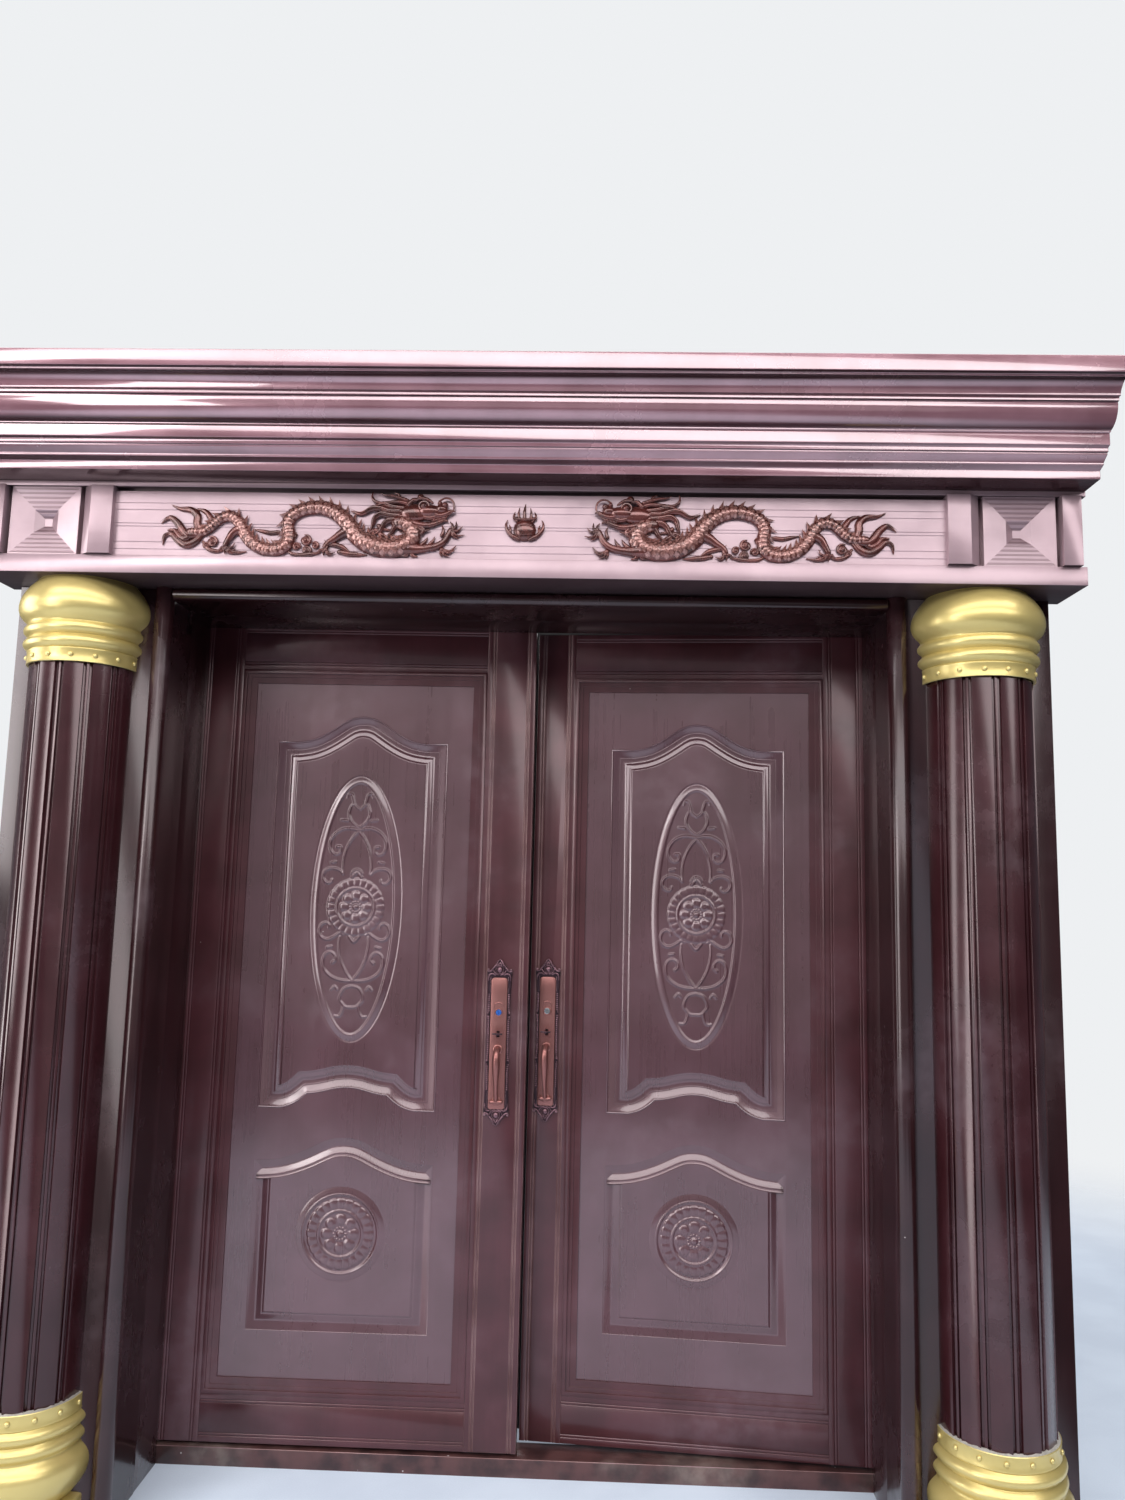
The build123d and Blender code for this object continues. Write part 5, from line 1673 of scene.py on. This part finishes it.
            self.stroke(form, [(u, 106), (u - 1, 100), (u - 2, 95)], [2.2, 1.6, 0.5], 12.0, 1.0, 2.0, 6)
        antlers = (
            ([(296, 140), (318, 146), (344, 144), (368, 142), (384, 148), (391, 158), (389, 171)],
             [6.5, 6, 5.6, 5.2, 4.6, 3.8, 1.4]),
            ([(362, 143), (378, 136), (398, 131)], [4.6, 3.8, 1.2]),
            ([(300, 150), (320, 157), (340, 162), (356, 163), (368, 168)], [5.4, 5, 4.6, 3.6, 1.2]),
            ([(318, 156), (324, 166), (334, 170)], [3.8, 3, 1.0]),
        )
        self.strokes(form, antlers, 8.0, 0.95, 4.0)
        mane = (
            ([(318, 120), (344, 120), (368, 128), (392, 127), (418, 114), (442, 121)],
             [11, 10, 8.5, 7.5, 6, 1.5]),
            ([(318, 108), (344, 110), (366, 114), (382, 104), (386, 88), (392, 70)],
             [11, 10, 8.5, 7.5, 6, 1.5]),
            ([(322, 98), (344, 98), (358, 88), (366, 72), (382, 60)], [10, 9, 7.5, 6, 1.5]),
            ([(308, 128), (334, 132), (356, 138), (376, 134)], [9, 8, 6, 1.5]),
            ([(316, 88), (330, 80), (338, 66), (350, 54)], [8, 7.5, 6, 1.5]),
            ([(300, 110), (318, 100), (330, 90), (336, 78)], [7, 7, 5, 1.5]),
        )
        for points, radii in mane:
            self.stroke(form, points, radii, 6.0, 0.85)
            crest = [(u, v + 2) for u, v in points]
            self.stroke(form, crest, [0.2 * r for r in radii], 6.0 + 0.8 * max(radii), 1.0, 6.0, 6)

    def build(self) -> None:
        """Builds the right dragon and its mirror image."""
        form = Form()
        self.body(form)
        self.tail(form)
        self.clouds(form)
        self.legs(form)
        self.head(form)
        for side, shape in ((Side.RIGHT, form), (Side.LEFT, form.mirrored())):
            thing = shape.mesh(f"{side.value}_carved_dragon", "carving", 55.0)
            fit(thing, "frame", "carving_copper", f"{side.value}_dragon")


@dataclass
class FriezeBoard:
    """Folded steel board behind the carvings, with a few fine level creases."""

    half: float = 1056.0
    front: float = -452.0
    back: float = -432.0
    low: float = 2375.2
    high: float = 2545.0
    creases: tuple[float, ...] = (2392.0, 2411.0, 2452.0, 2460.0, 2496.0, 2514.0)
    depth: float = 0.7
    width: float = 1.1

    def build(self) -> None:
        """Builds the board from a block, cut at its creases, whose middle lines are pushed in."""
        middle = ((self.front + self.back) / 2, (self.low + self.high) / 2)
        size = (2 * self.half, self.back - self.front, self.high - self.low)
        thing = block((0.0, *middle), size)
        bpy.ops.object.mode_set(mode="EDIT")
        for level in self.creases:
            for shift in (-self.width, 0.0, self.width):
                bpy.ops.mesh.select_all(action="SELECT")
                bpy.ops.mesh.bisect(plane_co=(0, 0, (level + shift) * MM), plane_no=(0, 0, 1))
        bpy.ops.object.mode_set(mode="OBJECT")
        for vertex in thing.data.vertices:
            near = min(abs(vertex.co.z / MM - level) for level in self.creases)
            vertex.select = near < 0.01 and abs(vertex.co.y / MM - self.front) < 0.01
        for edge in thing.data.edges:
            edge.select = all(thing.data.vertices[i].select for i in edge.vertices)
        for face in thing.data.polygons:
            face.select = False
        bpy.ops.object.mode_set(mode="EDIT")
        bpy.ops.transform.translate(value=(0, self.depth * MM, 0))
        bpy.ops.object.mode_set(mode="OBJECT")
        fit(settle(thing, "creased_frieze_board", "header", 20.0), "frame", "header_paint", "frieze_board")


@dataclass
class Pearl:
    """Flaming pearl between the dragons: a banded ball on a scrolled seat under five flames."""

    centre: Point = (0.0, 77.0)
    ball: float = 29.0
    out: float = 15.0

    def build(self) -> None:
        """Builds the pearl."""
        base = Dragon()
        form = Form()
        u, v = self.centre
        form.ball(base.at(u, v, 3.0), Vector((self.ball, self.out, self.ball)), 12, 28)
        for level in (-14, -4, 11):
            reach = math.sqrt(max(self.ball**2 - level**2, 1)) - 1
            bow = [
                (u - reach, v + level + 2), (u - reach / 2, v + level), (u, v + level - 1.4),
                (u + reach / 2, v + level), (u + reach, v + level + 2),
            ]
            path = []
            for p in smooth_line(bow, 4.0):
                share = min(((p.x - u) ** 2 + (p.y - v) ** 2) / self.ball**2, 0.98)
                path.append(base.at(p.x, p.y, 3.0 + self.out * math.sqrt(1 - share)))
            form.tube(path, [0.9, 1.8, 1.8, 0.9], 8, Vector((0, 0, 1)))
        seat = [(u - 28, v + 30), (u - 14, v + 27), (u, v + 26), (u + 14, v + 27), (u + 28, v + 30)]
        base.stroke(form, seat, [3, 4.2, 4.4, 4.2, 3], 9.0, 1.0, 4.0)
        for flip in (1, -1):
            strokes = (
                ([(14, -25), (28, -18), (39, -8), (46, 4), (47, 16), (43, 25)],
                 [5, 6.4, 5.6, 4.8, 3.4, 1.0]),
                ([(38, -8), (36, 4), (39, 12)], [4.4, 3.6, 1.0]),
                ([(26, 28), (28, 36), (25, 46)], [3.6, 3.0, 1.0]),
                ([(14, 27), (16, 42), (14, 57)], [4.0, 3.2, 1.0]),
                ([(20, 22), (24, 28), (20, 34)], [3.6, 3.2, 1.4]),
            )
            for points, radii in strokes:
                base.stroke(form, [(u + flip * a, v + b) for a, b in points], radii, 6.0, 0.95, 4.0)
        flame = [(u, v + 26), (u - 1.5, v + 46), (u + 1.5, v + 67)]
        base.stroke(form, flame, [5.0, 4.2, 1.0], 7.0, 0.95, 4.0)
        for shift in (-10, 10):
            form.ball(base.at(u + shift, v - 21, 11.5), Vector((2.6, 3, 2.6)), 6, 10)
        fit(form.mesh("carved_pearl", "carving", 55.0), "frame", "carving_copper", "pearl")


@dataclass
class Collars:
    """Gilded capitals and bases of the half columns: spun shells with round rings, and rim studs."""

    column_x: float = 1174.0
    axis_y: float = -307.0
    top_rim: float = 2100.0
    base_rim: float = 310.0
    rim_r: float = 140.0
    drum_r: float = 156.0
    stud_r: float = 6.5
    stud_rise: float = 17.5
    steps: int = 72
    filler_steps: int = 60
    section: tuple[Point, ...] = (
        (134.0, 0.6), (139.4, 0.0), (140.8, 1.4), (140.0, 3.2), (140.0, 31.0), (141.2, 33.4), (140.6, 36.0),
        (139.2, 37.6), (141.5, 40.0), (146.5, 43.4), (150.6, 48.6), (151.8, 54.0), (150.4, 60.0),
        (146.0, 65.6), (141.6, 69.4), (140.4, 72.0), (142.4, 75.0), (147.2, 78.8), (151.4, 84.2),
        (152.6, 90.0), (151.2, 96.0),
        (147.4, 101.4), (144.6, 105.0), (144.2, 108.0), (147.0, 112.0), (153.0, 117.6), (159.6, 124.6),
        (164.8, 133.0), (167.6, 143.0), (168.0, 154.0), (166.2, 166.0), (161.8, 179.0), (155.0, 192.0),
        (147.0, 204.0), (139.0, 214.0), (132.4, 221.6), (128.4, 226.0), (127.6, 228.0),
    )

    def spun(self, name: str, profile: list[Point]) -> Thing:
        """Spins a section half round the right column's axis.

        Args:
            name: name of the piece.
            profile: section as (radius, level).

        Returns:
            The half-round shell.
        """
        deselect()
        x = self.column_x * MM
        y = self.axis_y * MM
        first = (x + profile[0][0] * MM, y, profile[0][1] * MM)
        bpy.ops.mesh.primitive_plane_add(size=0.002, location=first)
        thing = bpy.context.object
        bpy.ops.object.transform_apply(location=True, rotation=True, scale=True)
        bpy.ops.object.mode_set(mode="EDIT")
        bpy.ops.mesh.select_all(action="SELECT")
        bpy.ops.mesh.merge(type="CENTER")
        for before, after in zip(profile, profile[1:]):
            shift = ((after[0] - before[0]) * MM, 0, (after[1] - before[1]) * MM)
            bpy.ops.mesh.extrude_region_move(TRANSFORM_OT_translate={"value": shift})
        bpy.ops.mesh.select_all(action="SELECT")
        bpy.ops.mesh.spin(steps=self.steps, angle=math.pi, center=(x, y, 0), axis=(0, 0, 1))
        bpy.ops.object.mode_set(mode="OBJECT")
        return settle(thing, name, "gold", 50.0)

    def stud(self) -> Thing:
        """Low domed stud at the origin, facing the front."""
        deselect()
        bpy.ops.mesh.primitive_uv_sphere_add(segments=16, ring_count=10, radius=self.stud_r * MM)
        thing = bpy.context.object
        bpy.ops.object.mode_set(mode="EDIT")
        bpy.ops.mesh.select_all(action="SELECT")
        bpy.ops.mesh.bisect(plane_co=(0, 0, 0), plane_no=(0, 1, 0), clear_outer=True, use_fill=True)
        bpy.ops.mesh.select_all(action="SELECT")
        bpy.ops.transform.resize(value=(1, 0.75, 1))
        bpy.ops.object.mode_set(mode="OBJECT")
        return settle(thing, "column_rim_studs", "gold", 50.0)

    def rim_point(self, angle: float, r: float, z: float) -> Place:
        """Point round the right column's axis at an angle from the front, a radius and a level."""
        return (self.column_x + r * math.sin(angle), self.axis_y - r * math.cos(angle), z)

    def studs(self) -> None:
        """Sets eight studs round each of the four rims."""
        first = self.stud()
        base = [Vector(v.co) / MM for v in first.data.vertices]
        faces = [tuple(f.vertices) for f in first.data.polygons]
        bpy.data.objects.remove(first)
        form = Form()
        for level in (self.top_rim + self.stud_rise, self.base_rim - self.stud_rise):
            for k in range(8):
                angle = math.radians(-84 + 24 * k)
                turn = Matrix.Rotation(angle, 4, "Z")
                foot = Vector(self.rim_point(angle, self.rim_r, level))
                form.add([turn @ p + foot for p in base], faces)
        form.join(form.mirrored())
        fit(form.mesh("column_rim_buttons", "gold", 50.0), "frame", "gold_paint", "column_studs")

    def filler(self) -> Form:
        """Pale mortar between the shaft and the base's rim."""
        form = Form()
        points = []
        random.seed(7)
        for k in range(self.filler_steps + 1):
            angle = math.radians(-90 + 3 * k)
            high = self.base_rim + 1.5 + random.uniform(-1.2, 2.2)
            inner = (self.rim_r - 12, high + 1)
            for r, z in ((self.rim_r - 1.5, self.base_rim - 3), (self.rim_r - 1.8, high - 1), inner):
                points.append(self.rim_point(angle, r, z))
        firsts = [3 * k + i for k in range(self.filler_steps) for i in range(2)]
        form.add(points, [(a, a + 1, a + 4, a + 3) for a in firsts])
        return form

    def build(self) -> None:
        """Builds capitals, bases, studs and the mortar in the bases."""
        top = [(r, self.top_rim + z) for r, z in self.section]
        foot = [(r, self.base_rim - z) for r, z in self.section[:-1]]
        low = foot[-1][1]
        drum = [
            (130.0, low - 1.0), (150.0, low - 2.0), (154.6, low - 3.4), (self.drum_r, low - 6.0),
            (self.drum_r, 0.6),
        ]
        for name, node, profile in (("capital", "capitals", top), ("base", "bases", foot + drum)):
            shell = self.spun(f"right_{name}_shell", profile)
            fit(shell, "frame", "gold_paint", node)
            fit(mirror_copy(shell, f"left_{name}_shell"), "frame", "gold_paint", node)
        self.studs()
        form = self.filler()
        for side, shape in ((Side.RIGHT, form), (Side.LEFT, form.mirrored())):
            thing = shape.mesh(f"{side.value}_base_mortar", "mortar", 80.0, Vector((0, -0.3, 1)))
            fit(thing, "frame", "gold_paint")


@dataclass
class Studio:
    """Pale floor, soft light and the camera at the photograph's place."""

    place: Place = (0.1936, -3.0663, 1.5594)
    roll: float = 0.0229
    pitch: float = 0.1272
    yaw: float = 0.0326
    lens: float = 25.687
    floor_size: float = 14.0
    sky_power: float = 520.0
    high_power: float = 560.0
    side_power: float = 150.0
    front_power: float = 112.5
    court_power: float = 25.0
    back_power: float = 190.0
    world: float = 0.12

    def floor(self) -> None:
        """Adds the pale floor."""
        deselect()
        bpy.ops.mesh.primitive_plane_add(size=self.floor_size, location=(0, 0, 0))
        thing = bpy.context.object
        thing.name = "floor"
        thing.data.materials.append(PALETTE.get("ground"))

    def lamp(self, name: str, place: Place, target: Place, size: Point, power: float) -> None:
        """Adds one soft panel lamp.

        Args:
            name: name of the lamp.
            place: its middle in metres.
            target: point that it faces.
            size: its width and height.
            power: its power in watts.
        """
        data = bpy.data.lights.new(name, "AREA")
        data.shape = "RECTANGLE"
        data.size, data.size_y = size
        data.energy = power
        thing = bpy.data.objects.new(name, data)
        thing.location = place
        thing.rotation_euler = (Vector(target) - Vector(place)).to_track_quat("-Z", "Y").to_euler()
        thing.visible_camera = False
        bpy.context.scene.collection.objects.link(thing)

    def lights(self) -> None:
        """Adds the lamps and the pale surroundings."""
        lamps = (
            ("sky_panel", (0.2, -6.4, 5.0), (0, -0.4, 1.6), (17.0, 2.3), self.sky_power),
            ("high_panel", (0.2, -3.9, 8.0), (0, -0.2, 1.5), (14.0, 2.6), self.high_power),
            ("court_panel", (0.4, -7.0, 1.5), (0, -0.2, 1.4), (12.0, 2.4), self.court_power),
            ("back_panel", (0.6, 5.6, 3.6), (0, 0.2, 1.3), (6.0, 3.0), self.back_power),
            ("left_front_panel", (-4.2, -4.4, 2.1), (0, -0.2, 1.6), (1.6, 4.0), self.front_power),
            ("left_panel", (-5.6, -0.6, 2.1), (0, -0.4, 1.6), (2.4, 4.0), self.side_power),
        )
        for lamp in lamps:
            self.lamp(*lamp)
        world = bpy.data.worlds.new("studio")
        bpy.context.scene.world = world
        world.use_nodes = True
        world.node_tree.nodes.clear()
        add = partial(add_node, world.node_tree)
        seen = add("LightPath", {}, "Is Camera Ray")
        soft = add("Background", {"Color": "#ccd4e4", "Strength": self.world})
        white = add("Background", {"Color": "#eef0f2", "Strength": 1.0})
        add("OutputWorld", {"Surface": add("MixShader", {0: seen, 1: soft, 2: white})})

    def camera(self) -> None:
        """Adds the camera as solved from the photograph."""
        ahead = Vector((-math.sin(self.yaw), math.cos(self.yaw), 0))
        right = Vector((math.cos(self.yaw), math.sin(self.yaw), 0))
        up = Vector((0, 0, 1))
        forward = ahead * math.cos(self.pitch) + up * math.sin(self.pitch)
        above = up * math.cos(self.pitch) - ahead * math.sin(self.pitch)
        across = right * math.cos(self.roll) + above * math.sin(self.roll)
        top = above * math.cos(self.roll) - right * math.sin(self.roll)
        data = bpy.data.cameras.new("camera")
        data.lens = self.lens
        data.sensor_width = 36.0
        thing = bpy.data.objects.new("camera", data)
        turn = Matrix((across, top, -forward)).transposed().to_4x4()
        thing.matrix_world = Matrix.Translation(Vector(self.place)) @ turn
        bpy.context.scene.collection.objects.link(thing)
        bpy.context.scene.camera = thing
        bpy.context.scene.view_settings.view_transform = "Standard"

    def build(self) -> None:
        """Sets the scene."""
        self.camera()
        self.floor()
        self.lights()


def main() -> None:
    """Builds the door's looks piece by piece and logs each maker as it is done."""
    logging.basicConfig(level=logging.INFO, format="%(message)s")
    for maker in (Studio(), KeptNodes(), Leaf(), FriezeBoard(), Dragon(), Pearl(), Collars()):
        maker.build()
        log.info("%s done", type(maker).__name__)


if __name__ == "__main__":
    main()
